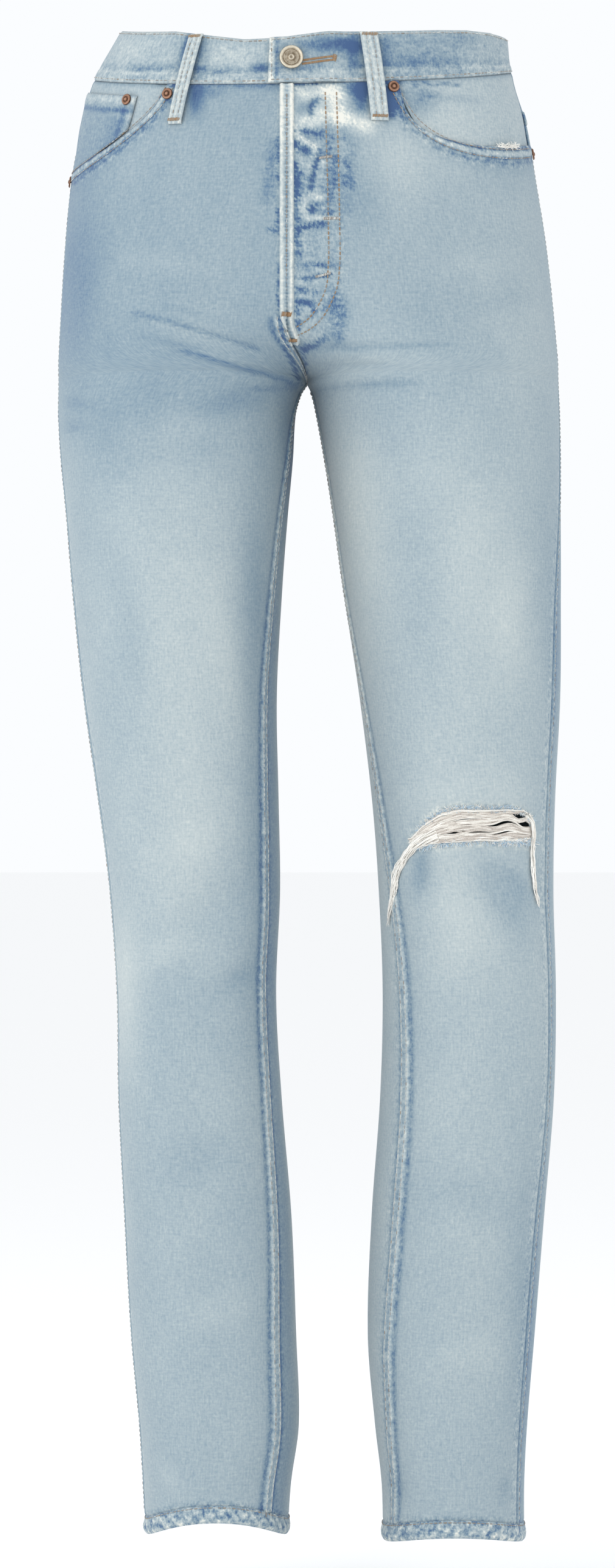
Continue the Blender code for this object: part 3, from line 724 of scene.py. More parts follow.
def denim(name, wear):
    """Washed twill: fade sets how much indigo is left, with painted shade and painted light added in some
    places, and roping breaks it up along seams.
    """
    n = Nodes(name)
    warp = n.cloth_noise(0.0011, 0.010, 3.0, 0.6)
    weft = n.cloth_noise(0.007, 0.0012, 3.0, 0.6)
    cloud = n.cloth_noise(0.055, 0.085, 3.0, 0.55)
    blotch = n.cloth_noise(0.0055, 0.0045, 2.0, 0.55)
    speck = n.cloth_noise(0.0017, 0.0023, 2.0, 0.6)
    fade = n.math("ADD", n.value("fade"), wear)
    for pattern, amount in ((warp, 0.26), (weft, 0.20), (cloud, 0.18), (speck, 0.30)):
        fade = n.vary(fade, pattern, amount)
    roping = n.value("roping")
    for pattern, amount in ((blotch, 1.5), (speck, 0.9)):
        part = n.math("MULTIPLY", n.math("SUBTRACT", pattern, 0.5), roping)
        fade = n.math("MULTIPLY_ADD", part, amount, fade)
    weave = n.math("MULTIPLY_ADD", warp, 0.5, n.math("MULTIPLY", weft, 0.3))
    weave = n.math("MULTIPLY_ADD", speck, 0.5, weave)
    rough = n.math("MULTIPLY_ADD", warp, 0.12, 0.80)
    sheen = {"Specular_IOR_Level": 0.25, "Sheen_Weight": 0.12, "Sheen_Roughness": 0.6}
    return n.finish(n.ramp(fade, INDIGO), rough, weave, 0.0004, 0.7, **sheen)


def cotton(name, scale, detail, change, stops, rough, bump_size, **uniform):
    """Loose or twisted cotton whose colour follows its tone."""
    n = Nodes(name)
    fibre = n.grain(scale, detail)
    color = n.ramp(n.vary(n.value("tone"), fibre, change), stops)
    return n.finish(color, n.math("MULTIPLY_ADD", fibre, 0.2, rough), fibre, *bump_size, **uniform)


def metal(name, dark, worn, roughness):
    """Old metal: tarnished in its grooves and rubbed on its ridges, where the rivets' flange rings also
    carry a painted highlight.
    """
    n = Nodes(name)
    stain = n.grain(620.0, 4.0)
    color = n.ramp(n.vary(n.value("rub"), stain, 1.1), [(0.0, dark), (1.0, worn)])
    rough = n.math("MULTIPLY_ADD", stain, 0.35, roughness)
    return n.finish(color, rough, n.grain(3200.0, 3.0), 0.0001, 0.5, Metallic=0.85)


# undyed weft, faded warp ends and a little dirt
YARN_TONES = [
    (0.0, (0.24, 0.38, 0.54)),
    (0.25, (0.50, 0.62, 0.70)),
    (0.45, (0.36, 0.32, 0.29)),
    (0.62, (0.60, 0.56, 0.51)),
    (0.80, (0.72, 0.70, 0.65)),
    (1.0, (0.84, 0.83, 0.79)),
]
# from greyed beige to tan
THREAD_TONES = [
    (0.0, (0.50, 0.52, 0.50)),
    (0.35, (0.23, 0.22, 0.21)),
    (0.70, (0.26, 0.20, 0.14)),
    (1.0, (0.26, 0.15, 0.07)),
]

body_denim = denim("denim", 0.0)
edge_denim = denim("denim_worn_edge", 0.04)
loose_yarn = cotton(
    "frayed_yarn", 1500.0, 3.0, 0.35, YARN_TONES, 0.75, (0.0002, 0.8), Specular_IOR_Level=0.2
)
thread = cotton("thread", 2600.0, 2.0, 0.5, THREAD_TONES, 0.65, (0.0001, 0.6))
button_metal = metal("button_metal", (0.155, 0.120, 0.080), (0.560, 0.510, 0.410), 0.30)
rivet_copper = metal("rivet_copper", (0.060, 0.026, 0.014), (0.350, 0.200, 0.135), 0.38)

# ---------------------------------------------------------------- fades

# fade of the washed cloth, with painted shade and painted light added in some places: 0 is deep indigo and
# 1 is bare cotton
PLAIN_FADE = 0.52
Fade = namedtuple("Fade", "x z reach_x reach_z amount")
FADE_AND_SHADING_SPOTS = {
    "front": table(Fade, [
        # rubbed thighs and knees
        (-850, -3900, 450, 1200, 0.15),
        (-850, -5400, 360, 700, 0.11),
        (1050, -3800, 550, 1500, 0.15),
        (1120, -5700, 400, 800, 0.11),
        (-750, -7600, 400, 1500, 0.04),
        (1050, -7600, 450, 1800, 0.08),
        (600, -750, 400, 300, 0.16),
        (850, -1300, 550, 500, 0.06),
        (-1000, -2250, 600, 500, -0.05),
        (-950, -2550, 550, 300, -0.07),
        (200, -2450, 300, 250, -0.06),
        (1500, -1800, 300, 500, 0.10),
        (1450, -1100, 300, 300, 0.06),
        # bluer and paler places along the edges of the hips and legs; the pale spots on the inner left
        # thigh and on the right leg's outer edge at the knee are painted light
        (-1580, -1500, 260, 800, -0.16),
        (360, -1000, 140, 350, -0.09),
        # painted light on the inner left thigh, which turns away from the lamps
        (300, -3300, 200, 1100, 0.20),
        (1660, -3700, 140, 1100, -0.13),
        (-340, -4000, 120, 1100, -0.14),
        (-300, -5700, 100, 800, -0.08),
        # painted light on the right leg's outer edge
        (-1220, -6200, 120, 600, 0.14),
        (1470, -8700, 120, 1000, -0.13),
        (-120, -2680, 70, 350, -0.20),
        # painted light high on the inner left thigh
        (160, -2700, 100, 500, 0.10),
        # painted shadow under the rip, on both sides of the fold that hangs there
        (1080, -5750, 130, 400, -0.04),
        (1310, -5560, 110, 280, -0.02),
        (750, -5450, 60, 220, -0.07),
        # painted shadow beside the belt loops and under the waistband
        (345, -330, 60, 120, -0.34),
        (520, -420, 45, 100, -0.30),
        (700, -430, 110, 80, -0.26),
        (950, -360, 200, 30, -0.12),
        (-740, -360, 55, 130, -0.42),
        (-640, -340, 100, 40, -0.16),
        (-330, -310, 140, 25, -0.12),
    ], 4),
    "back": table(Fade, [
        (1500, -900, 360, 800, 0.16),
        (-900, -2000, 450, 450, 0.12),
        (900, -2000, 450, 450, 0.12),
        (-850, -3700, 450, 1000, 0.08),
        (1000, -3700, 450, 1000, 0.08),
        (-850, -2400, 600, 80, -0.10),
        (850, -2400, 600, 80, -0.10),
        (-800, -5120, 450, 100, -0.10),
        (1050, -5080, 450, 100, -0.10),
        (-800, -7600, 400, 1500, 0.05),
        (1050, -7600, 400, 1500, 0.05),
    ], 4),
}

# soft strokes of colour on the front, of wear, bluer cloth and painted shade: half width and amount, then x
# and z of each corner, as in a table
Mark = namedtuple("Mark", "width amount line")
MARK_ROWS = [
    # the worn head of the fly
    (46, 0.42, -40, -350, 216, -350),
    (52, 0.44, -40, -545, 100, -500, 390, -560),
    (50, 0.40, 140, -330, 216, -490),
    (16, -0.50, 66, -390, 22, -436, 18, -500),
    (30, -0.16, -24, -450, -50, -530),
    # its puckers: the dark strokes are painted shade in the troughs together with bluer cloth, and the pale
    # ones rubbed ridges
    (21, -0.46, -34, -610, 76, -628),
    (15, 0.34, -74, -625, -24, -678, 54, -716, 46, -780),
    (23, -0.46, -94, -690, -60, -712, 6, -738),
    (10, -0.30, -108, -640, -106, -730),
    (20, -0.62, -92, -830, -80, -900, -74, -1060),
    (24, -0.26, -40, -900, -20, -980),
    (15, -0.44, 74, -730, 66, -790, 40, -860, 18, -1000),
    (32, -0.24, 138, -600, 146, -760),
    (30, -0.32, 160, -810, 166, -960),
    (9, 0.30, 70, -812, 150, -800),
    (14, -0.28, 190, -790, 236, -810, 270, -880),
    (16, -0.24, 230, -945, 290, -980, 284, -920, 236, -905),
    (42, -0.15, 240, -600, 290, -740),
    (50, -0.13, 260, -830, 250, -1100),
    (18, 0.20, -26, -1160, -14, -1060, 20, -1035, 116, -1050),
    (21, -0.50, 22, -1130, 52, -1100),
    (28, -0.30, 140, -980, 136, -1150),
    (14, 0.24, -4, -1192, 170, -1182),
    (15, -0.52, -54, -1262, -24, -1242, 116, -1217),
    (18, -0.30, -76, -1100, -64, -1440),
    (18, -0.16, -64, -1500, 196, -1487),
    (9, -0.32, 40, -1500, 110, -1500),
    (8, -0.44, -44, -1582, 56, -1572, 146, -1560),
    (8, 0.26, 90, -1540, 150, -1540),
    (16, -0.30, -69, -1662, -4, -1652),
    (12, -0.30, 40, -1672, 56, -1670),
    (16, -0.46, -64, -1727, 26, -1747, 40, -1800),
    (42, -0.28, 176, -1700, 216, -1820, 190, -1960),
    (28, -0.22, 116, -1780, 170, -1780),
    (17, -0.44, 116, -1960, 36, -2007, -44, -2022),
    (35, 0.10, -20, -1930, 60, -1940),
    # painted shadow along both edges of the fly, with some bluer cloth beside it
    (8, -0.46, -70, -1757, -66, -1900),
    (8, -0.44, -34, -2030, -6, -2150),
    (10, -0.50, -184, -1730, -176, -1880, -134, -2060, -50, -2200),
    (8, -0.36, -194, -640, -192, -960),
    (40, -0.20, -224, -710, -264, -1050),
    (10, -0.46, -194, -1130, -196, -1272, -264, -1262),
    (10, -0.46, -190, -1490, -190, -1560),
    (13, -0.36, -190, -1600, -190, -1710),
    # the darkest whisker lines, bluer cloth in the creases with painted crease shadow over it, and the
    # paler rubbed cloth beside them
    (11, -0.13, -1148, -1794, -740, -1906, -324, -2046),
    (10, -0.14, -828, -2050, -440, -2166, -60, -2230),
    (16, 0.11, -1020, -1858, -620, -1970, -324, -2076),
    (14, 0.09, -700, -2062, -300, -2166),
    # painted shadow of the fold under the crotch
    (24, -0.12, -360, -2296, -90, -2246),
    (12, -0.07, -40, -2018, 400, -2026, 940, -2016),
    (10, -0.09, 50, -2262, 700, -2268),
    # painted shadow under the waistband and beside the belt loops, and bluer cloth between the fly and the
    # wearer's left front loop
    (8, -0.50, -190, -292, 60, -280),
    (32, -0.34, 260, -330, 376, -330),
    (34, -0.22, 350, -320, 350, -450),
    (20, -0.70, 532, -300, 545, -500),
    (40, -0.26, 600, -290, 600, -420),
    (60, -0.24, 720, -310, 800, -345),
    (9, -0.34, 700, -272, 1000, -262),
]
MARKS = [
    Mark(width / TENTHS, amount, np.reshape(line, (-1, 2)) / TENTHS) for width, amount, *line in MARK_ROWS
]
MARKS_FROM_Z = -0.230
MARK_STRENGTH = 0.85
MARK_SPREAD = 1.15


def spots_at(x, z, spots):
    """What soft spots add to the fade, with the painted shade and painted light among them."""
    total = np.zeros(np.broadcast(x, z).shape)
    for spot in spots:
        across, up = (x - spot.x) / spot.reach_x, (z - spot.z) / spot.reach_z
        total = total + spot.amount * np.exp(-(across**2) - up**2)
    return total


def marks_at(x, z):
    """What the strokes add to the fade, their painted shade included, with wandering edges."""
    total = np.zeros(x.shape)
    shift = 0.0009 * np.sin(z * 2100 + x * 700) + 0.0006 * np.sin(z * 4700 - x * 1600)
    z = z + 0.0008 * np.sin(x * 2300 - z * 900) + 0.0005 * np.sin(x * 5100 + z * 1700)
    x = x + shift
    for mark in MARKS:
        pieces = zip(mark.line, mark.line[1:])
        away = np.min([along_segment(x, z, *start, *end)[1] for start, end in pieces], axis=0)
        total += MARK_STRENGTH * mark.amount * bump(away, MARK_SPREAD * mark.width)
    return total


def placket_at(x, z):
    """1 over the stitched facing of the fly, where the cloth is puckered and mottled."""
    across = smooth((x + 0.012) / 0.004) * smooth((0.030 - x) / 0.010)
    return across * smooth((z + 0.205) / 0.02) * smooth((-0.050 - z) / 0.015)


# ridges are rubbed pale and troughs keep their blue: fade for each metre of height
RUBBED = 85.0
RUBBED_LOW = -0.0016
RUBBED_HIGH = 0.0014
LARGE_FOLD_SHARE = 0.2
# how much bluer the sides are than the front: over the hips this is bluer cloth, and down the legs it is
# negative, painted light that brightens the sides where they turn from the lamps
HIP_SIDE_LOSS = 0.07
LEG_SIDE_PAINTED_SHADING = -0.05
HIP_LOSS = 0.05
HIP_END_Z = -0.18
LEG_START_Z = -0.30


def fade_and_shading_at(is_front, x, z, facing):
    """The washed cloth's fade with painted shading: painted light on the legs' sides and in some spots,
    painted shade in others; facing is 1 where it faces the front or the back, and 0 at the sides.
    """
    on_leg = smooth((HIP_END_Z - z) / (HIP_END_Z - LEG_START_Z))
    side_darkening = HIP_SIDE_LOSS + (LEG_SIDE_PAINTED_SHADING - HIP_SIDE_LOSS) * on_leg
    total = PLAIN_FADE - side_darkening * (1 - facing) ** 2 - HIP_LOSS * (1 - on_leg)
    total = total + np.where(is_front, spots_at(x, z, FADE_AND_SHADING_SPOTS["front"]), spots_at(x, z, FADE_AND_SHADING_SPOTS["back"]))
    height = fold_height(is_front, x, z, CREASES, PUCKERS)
    height = height + LARGE_FOLD_SHARE * fold_height(is_front, x, z, FOLDS)
    return total + RUBBED * np.clip(height, RUBBED_LOW, RUBBED_HIGH)


# ---------------------------------------------------------------- leg panels and yokes

# distances from a panel's inner seam and from its outseam at which its columns stand
INNER_MARKS = np.array([-4, 2, 8, 16, 32, 50, 66, 74, 80, 86, 96, 112]) / TENTHS
OUTER_MARKS = np.array([-100, -60, -46, -36, -16, -8, -2, 4]) / TENTHS
FLY_REACH = 0.056

# rows of the leg panels: level between these heights, apart from the rip's edges
LOW_LEVEL = -0.930
LOW_ROWS = 20
ROW_STEP = 0.0042
RIP_ROWS_FROM = -0.494
RIP_ROWS_TO = -0.541
RIP_ROWS = 10
RIP_MARGIN_ROWS = 14
RIP_BLEND = 0.020
YOKE_ROWS = 34

STRIP_WIDTH = 0.0080
STRIP_LIFT = 0.0008
STRIP_START_Z = {"right": -0.180, "left": -0.222}
TUCK = 0.0007
SIDE_STRIP = 0.0046
SIDE_BLUE = 0.11
POCKET_BAND = 0.0092
# what the back panels' inner edges add to the fade: bluer cloth on the right leg, and on the left leg
# painted light that lifts the shade between the legs
INNER_SIDE = {"right": -0.17, "left": 0.07}


def column_marks(fly_columns, body_columns):
    """Each column's distance from the inner seam is base + gain * the panel's width."""
    t = np.linspace(0, 1, body_columns + 1)[1:]
    inner = [INNER_MARKS, np.linspace(INNER_MARKS[-1], FLY_REACH, fly_columns + 1)[1:]]
    base = np.concatenate([*inner, FLY_REACH + (OUTER_MARKS[0] - FLY_REACH) * t, OUTER_MARKS[1:]])
    fixed = np.zeros(len(INNER_MARKS) + fly_columns)
    return base, np.concatenate([fixed, t, np.ones(len(OUTER_MARKS) - 1)])


PanelGrid = namedtuple("PanelGrid", "base gain top_rows top_level")
BACK_GRID = PanelGrid(*column_marks(16, 40), 40, -0.130)
RIGHT_GRID = PanelGrid(*column_marks(34, 44), 170, -0.232)
LEFT_GRID = PanelGrid(*column_marks(52, 50), 180, -0.222)


def edge_heights(side, face, line, grid):
    """The z of each column on a line across the panel."""
    z = np.full(grid.base.shape, -0.98 if line is hem_line else -0.03)
    for _ in range(4):
        width = arc_marks(side, face, z)[1][..., -1]
        z = line(side, face, grid.base / width + grid.gain)
    return z


def rows_between(start, end, count, last=False):
    """Rows of heights from start to end, with or without the last."""
    return start + (end - start) * np.linspace(0, 1, count, endpoint=last)[:, None]


def panel_z(top, bottom, grid, rip=None):
    """Heights on a grid: spread from top, level down the leg but for the rip's edges, spread to bottom."""
    stops = [grid.top_level, LOW_LEVEL]
    if rip is not None:
        stops[1:1] = [RIP_ROWS_FROM, RIP_ROWS_TO]
    counts = [round((a - b) / ROW_STEP) for a, b in zip(stops, stops[1:])]
    if rip is not None:
        stops[2:2] = [rip.top, rip.bottom]
        counts[1:2] = [RIP_MARGIN_ROWS, RIP_ROWS, RIP_MARGIN_ROWS]
    stops = [stop * np.ones(len(top)) for stop in stops]
    parts = [rows_between(top, stops[0], grid.top_rows)]
    parts += [rows_between(*part) for part in zip(stops, stops[1:], counts)]
    return np.concatenate(parts + [rows_between(LOW_LEVEL, bottom, LOW_ROWS, last=True)])


def rip_edges(grid):
    """Where the rip's upper and lower edges cross each column, and its x."""
    z = np.full(grid.base.shape, (RIP[0].top + RIP[0].bottom) / 2 + 0.010)
    angles, marks = arc_marks("left", "front", z)
    x, _ = oval_point("left", z, read_at(grid.base + grid.gain * marks[..., -1], marks, angles))
    first = RipEdge(RIP[0].x - RIP_BLEND, -0.509, -0.529)
    ends = [first, *RIP, RipEdge(RIP[-1].x + RIP_BLEND, -0.509, -0.527)]
    top, bottom = [np.interp(x, column(ends, "x"), column(ends, key)) for key in ("top", "bottom")]
    wear = 0.0005 * np.sin(x * 1700) + 0.0004 * np.sin(x * 3100 + 1)
    return RipEdge(x, top + wear, bottom + wear[::-1])


def rip_hole(z, rip):
    """The cells of the grid that are torn away."""
    middle = (z[1:] + z[:-1]) / 2
    torn = (middle < rip.top) & (middle > rip.bottom) & (rip.x > RIP[0].x) & (rip.x < RIP[-1].x)
    return torn[:, :-1] & torn[:, 1:]


# each of these gives the relief, the fade and the roping along one edge


def rip_rim(z, rip):
    """The worn cloth round the rip."""
    along = smooth((rip.x - RIP[0].x + 0.006) / 0.006) * smooth((RIP[-1].x + 0.004 - rip.x) / 0.006)
    away = np.where(z > (rip.top + rip.bottom) / 2, z - rip.top, rip.bottom - z)
    worn = along * bump(away - 0.0010, 0.0034)
    curl = along * bump(away, 0.0018) * (0.5 + 0.5 * np.sin(rip.x * 900))
    return 0.0008 * curl, 0.17 * worn, 0.7 * worn


def inner_seam(side, face, z, inner):
    """The inner seam, with a felled strip on the fronts below the fly and on the left back's seat."""
    if face == "front":
        on = smooth((STRIP_START_Z[side] - z) / 0.006)
    else:
        on = np.where(z > CROTCH_Z, float(side == "left"), 0.0)
    strip = ridge(inner, STRIP_WIDTH)
    lift = on * (STRIP_LIFT * strip - hills(inner, (0.0003, 92, 10)))
    lift = lift - hills(inner, (TUCK, -4, 7)) * (1 - 0.4 * on)
    felled = hills(inner, (0.15, 12, 9), (0.15, 70, 9), (-0.25, 104, 26), (-0.14, 40, 14))
    fade = on * (0.03 * strip + felled)
    fade = fade - 0.26 * bump(inner, 0.0009 if face == "front" else 0.0022)
    if face == "back":
        fade = fade + INNER_SIDE[side] * smooth((0.034 - inner) / 0.022) * (z < CROTCH_Z)
    roping = on * 0.42 * ridge(inner, 0.0130, 0.002) + (1 - on) * 0.3 * bump(inner, 0.008)
    return lift, fade, roping


def outer_seam(face, outer, z):
    """The outseam, whose allowances are pressed to the back."""
    lift = -hills(outer, (TUCK, -4, 7))
    fade = hills(outer, (-0.16, 0, 8))
    if face == "back":
        lift = lift + 0.0006 * ridge(outer, SIDE_STRIP)
        fade = fade + hills(outer, (0.10, 9, 9), (-0.12, 64, 18))
        fade = fade - SIDE_BLUE * smooth((0.034 - outer) / 0.022) * smooth((-0.20 - z) / 0.10)
    else:
        fade = fade + hills(outer, (0.06, 30, 16))
    return lift, fade, 0.45 * ridge(outer + 0.001, 0.012, 0.004)


def pocket_edge(side, outer, z):
    """The turned and double-stitched edge of a pocket opening."""
    along, up = opening_curve(side)
    near = z > up.min() - 0.03
    away = np.full(z.shape, 1.0)
    away[near] = np.hypot(outer[near][:, None] - along, z[near][:, None] - up).min(-1)
    band = smooth(away / 0.0006) * smooth((POCKET_BAND - away) / 0.0014)
    sewn_groove_and_shade = hills(away, (1, 22, 9), (1, 78, 9))
    lift = 0.0008 * band - 0.0006 * bump(away, 0.0006) - 0.0005 * sewn_groove_and_shade
    # the turned edge is rubbed pale; the stitched grooves and the line beyond the band are painted shade
    fade = hills(away, (0.28, 2, 12), (0.15, 50, 19), (-0.20, 106, 15), (-0.04, 150, 40)) - 0.30 * sewn_groove_and_shade
    return lift, fade, 0.55 * smooth((0.016 - away) / 0.004)


def dress(node, side, face, z, base, gain, relief, hole=None):
    """Cloth on the body's surface, at distances base + gain * width from the inner seam."""
    angles, marks = arc_marks(side, face, z)
    width = marks[..., -1]
    inner = base + gain * width
    angle = read_at(inner, marks, angles)
    lift, fade, roping = relief(z, inner, width - inner)
    place = cloth_point(side, z, angle, lift)
    is_front = wrapped(angle) >= 0
    x = place[0][..., 0]
    near = is_front & (z > MARKS_FROM_Z)
    stroke = np.zeros(z.shape)
    stroke[near] = marks_at(x[near], z[near])
    # the spots and strokes add painted shade and painted light to the fade as well as wear
    fade = fade + fade_and_shading_at(is_front, x, z, np.abs(np.sin(angle))) + stroke
    roping = roping + 1.1 * np.abs(stroke) + np.where(near, 0.35 * placket_at(x, z), 0.0)
    return cloth_piece(node, place, (inner - width / 2, z), fade, np.maximum(roping, 0.0), hole=hole)


def added(*parts):
    return [sum(values) for values in zip(*parts)]


def leg_panel(side, face, line):
    """A front or back panel, from a line across it down to the hem."""
    ripped = (side, face) == ("left", "front")
    grid = BACK_GRID if face == "back" else LEFT_GRID if ripped else RIGHT_GRID
    rip = rip_edges(grid) if ripped else None
    top = edge_heights(side, face, line, grid)
    z = panel_z(top, edge_heights(side, face, hem_line, grid) - 0.0008, grid, rip)

    def relief(z, inner, outer):
        under, above_hem = bump(z - top, 0.0022), bump(z - z[-1], 0.0035)
        parts = [inner_seam(side, face, z, inner), outer_seam(face, outer, z)]
        # painted shade, with bluer cloth, just under each panel's top edge, below the waistband, the pocket
        # openings and the yoke
        parts.append((-0.0006 * bump(z - top, 0.0012), -0.22 * under, 0.5 * under))
        parts.append((-0.0007 * bump(z - z[-1], 0.0010), -0.10 * above_hem, 0.7 * above_hem))
        if face == "front":
            parts.append(pocket_edge(side, outer, z))
        if ripped:
            parts.append(rip_rim(z, rip))
        return added(*parts)

    hole = rip_hole(z, rip) if ripped else None
    return dress(f"{face}_{side}", side, face, z, grid.base, grid.gain, relief, hole)


def yoke(side):
    """The shaped piece under the waistband at the back, felled over the back panel."""
    top = edge_heights(side, "back", waist_line, BACK_GRID)
    bottom = edge_heights(side, "back", yoke_line, BACK_GRID) - 0.0010
    z = rows_between(top, bottom, YOKE_ROWS, last=True)

    def relief(z, inner, outer):
        up = z - bottom
        lift = 0.0009 * ridge(up, POCKET_BAND) - 0.0006 * bump(z - top, 0.0012)
        # the last term is painted shade, with bluer cloth, just under the waistband
        fade = hills(up, (0.13, 16, 10), (0.08, 80, 10), (-0.16, 110, 20)) - 0.20 * bump(z - top, 0.0022)
        felled = (lift, fade, 0.6 * smooth((0.014 - up) / 0.004))
        return added(inner_seam(side, "back", z, inner), outer_seam("back", outer, z), felled)

    return dress(f"yoke_{side}", side, "back", z, BACK_GRID.base, BACK_GRID.gain, relief)


for side in SIDES:
    leg_panel(side, "front", front_line)
    leg_panel(side, "back", yoke_line)
    yoke(side)

# ---------------------------------------------------------------- frayed yarn of the rip

STRAND_SIDES = 4
WEFT_COUNT = 190
WEFT_POINTS = 34
FRAY_POINTS = 5
POCKET_FRAY_FROM = 0.1225
POCKET_FRAY_TO = 0.1385
rng = np.random.default_rng(7)


def strands(yarn, routes, radius, tones):
    """Adds a strand along each route; tones go from 0, indigo, over 0.45, soiled, to 1, off-white."""
    along = np.gradient(routes, axis=1)
    side = unit(np.cross(along, (0.0, -1.0, 0.0)))
    up = unit(np.cross(side, along))
    turn = 2 * math.pi * np.arange(STRAND_SIDES) / STRAND_SIDES
    arm = side[:, :, None] * np.cos(turn)[:, None] + up[:, :, None] * np.sin(turn)[:, None]
    yarn.add(routes[:, :, None] + arm * np.broadcast_to(radius, routes.shape[:2])[:, :, None, None], tones)


def left_front(x, z, out):
    """Points over the wearer's left front at x and z."""
    x, z, out = np.broadcast_arrays(x, z, out)
    return cloth_point("left", z, angle_at_x("left", "front", z, x), out)[0]


def rip_edge(x, key):
    """The height of the rip's upper or lower edge at x."""
    return np.interp(x, column(RIP, "x"), column(RIP, key))


# gaps in the rip's yarn: middle, reach along x, half the opening, and the slope of its strands
Gap = namedtuple("Gap", "x z reach half slope")
GAPS = table(Gap, [
    (1270, -5150, 110, 14, 0.34),
    (1400, -5100, 60, 26, 0.42),
    (1430, -5158, 44, 22, 0.50),
    (1260, -5215, 70, 7, 0.20),
    (740, -5262, 50, 18, 0.10),
    (1120, -5205, 120, 8, 0.12),
    (960, -5210, 80, 9, 0.15),
    (1020, -5120, 100, 6, 0.05),
], 4)


def parted(x, z):
    """Heights of strands, pushed apart and leaning where the yarn has gaps."""
    strand = np.arange(len(x))
    for gap in GAPS:
        away = z[strand, np.abs(x - gap.x).argmin(1)][:, None] - gap.z
        near = np.exp(-(((x - gap.x) / gap.reach) ** 2) - np.abs(away) / 0.0040)
        z = z + near * (np.where(away > 0, gap.half, -gap.half) + gap.slope * (x - gap.x))
    return z


def weft(yarn):
    """Undyed yarn across the rip, in a few slanting layers that cross."""
    each = (WEFT_COUNT, 1)
    t = np.linspace(0, 1, WEFT_POINTS)
    share = (np.arange(WEFT_COUNT)[:, None] * 0.61803) % 1.0
    layer = rng.integers(0, 3, each)
    slant = (layer - 1) * 0.16 + 0.05 * rng.standard_normal(each)
    height = 0.5 + (share - 0.5) * 1.03 + slant * (t - 0.5)
    height = height + 0.020 * np.sin(t * 9 + 20 * share) + 0.010 * np.sin(t * 23 + 50 * share)
    start = RIP[0].x - 0.0030 + 0.006 * rng.random(each) * (1 - share)
    x = start + (RIP[-1].x + 0.0015 - start) * t
    low, high = rip_edge(x, "bottom"), rip_edge(x, "top")
    z = parted(x, low + (high - low) * np.clip(height, 0.0, 1.0))
    out = 0.0002 + 0.0011 * np.sin(math.pi * t) ** 0.6 - 0.0012 * (bump(t, 0.03) + bump(t - 1, 0.03))
    out = out + 0.0004 * (layer - 1) + 0.0003 * np.sin(t * 31 + 90 * share)
    size = 0.00036 + 0.00014 * rng.random(each)
    tone = 0.76 + 0.10 * rng.standard_normal(WEFT_COUNT)
    tone[rng.random(WEFT_COUNT) < 0.24] = 0.53
    strands(yarn, left_front(x, z, out), size, np.clip(tone, 0.5, 1.0))


# torn yarn at each end of the rip: its middle and half its width
Hang = namedtuple("Hang", "x z half")
LEFT_HANK = table(Hang, [
    (860, -5225, 46),
    (779, -5253, 40),
    (698, -5301, 34),
    (655, -5357, 28),
    (618, -5422, 21),
    (590, -5502, 19),
    (578, -5590, 14),
    (566, -5670, 10),
    (554, -5743, 9),
    (540, -5850, 19),
])
RIGHT_HANK = table(Hang, [
    (1440, -5090, 16),
    (1476, -5141, 13),
    (1481, -5241, 14),
    (1479, -5321, 15),
    (1481, -5392, 16),
    (1491, -5492, 14),
    (1504, -5582, 11),
    (1521, -5662, 10),
    (1539, -5742, 9),
])


def hank(yarn, route, amount):
    """Torn yarn that hangs down over the cloth in a loose twist and ends raggedly."""
    each = (amount, 1)
    t = np.linspace(0, 1, 40)
    stations = np.linspace(0, 1, len(route))
    x, z, half = [np.interp(t, stations, column(route, key)) for key in Hang._fields]
    across = rng.uniform(-1, 1, each)
    phase = 2 * math.pi * rng.random(each)
    along = t * (0.62 + 0.38 * rng.random(each) ** 0.5)
    run = np.hypot(np.gradient(x), np.gradient(z))
    route_x, route_z, half, lean, rise = [
        np.interp(along, t, value) for value in (x, z, half, np.gradient(x) / run, np.gradient(z) / run)
    ]
    lateral = 0.7 * across + 0.3 * np.sin(along * 11 + phase)
    out = 0.0011 + 0.0008 * np.cos(along * 13 + phase) + 0.0006 * rng.random(each)
    lateral = lateral + 0.35 * rng.standard_normal(each) * np.sin(along * 37 + 3 * phase) * along
    points = left_front(route_x - rise * lateral * half, route_z + lean * lateral * half, out)
    size = 0.00032 * (1 - 0.6 * t**6) * (0.8 + 0.5 * rng.random(each))
    strands(yarn, points, size, np.clip(0.86 + 0.10 * rng.standard_normal(amount), 0.5, 1.0))


def curling(x, z, length, heading, curl, t):
    """Paths that start at x and z and turn as they go."""
    return x + length * t * np.cos(heading + curl * t), z + length * t * np.sin(heading + curl * t)


def frays(yarn, key, amount, longest, blue):
    """Short warp ends along the rip's upper or lower edge."""
    each = (amount, 1)
    x = rng.uniform(RIP[0].x + 0.004, RIP[-1].x + 0.002, each)
    downwards = -1 if key == "top" else 1
    z = rip_edge(x, key) - downwards * 0.0008
    length = longest * rng.uniform(0.25, 1.0, each)
    heading = downwards * math.pi / 2 + 0.55 * rng.standard_normal(each)
    heading = heading + math.pi * (rng.random(each) < 0.45)
    t = np.linspace(0, 1, FRAY_POINTS)
    x, z = curling(x, z, length, heading, 0.6 * rng.standard_normal(each), t)
    out = 0.0003 + 0.0020 * t * rng.random(each)
    size = 0.00022 * (1 - 0.5 * t) * (0.7 + 0.6 * rng.random(each))
    tone = np.where(rng.random(amount) < blue, 0.20, 0.88) + 0.06 * rng.standard_normal(amount)
    strands(yarn, left_front(x, z, out), size, np.clip(tone, 0.0, 1.0))


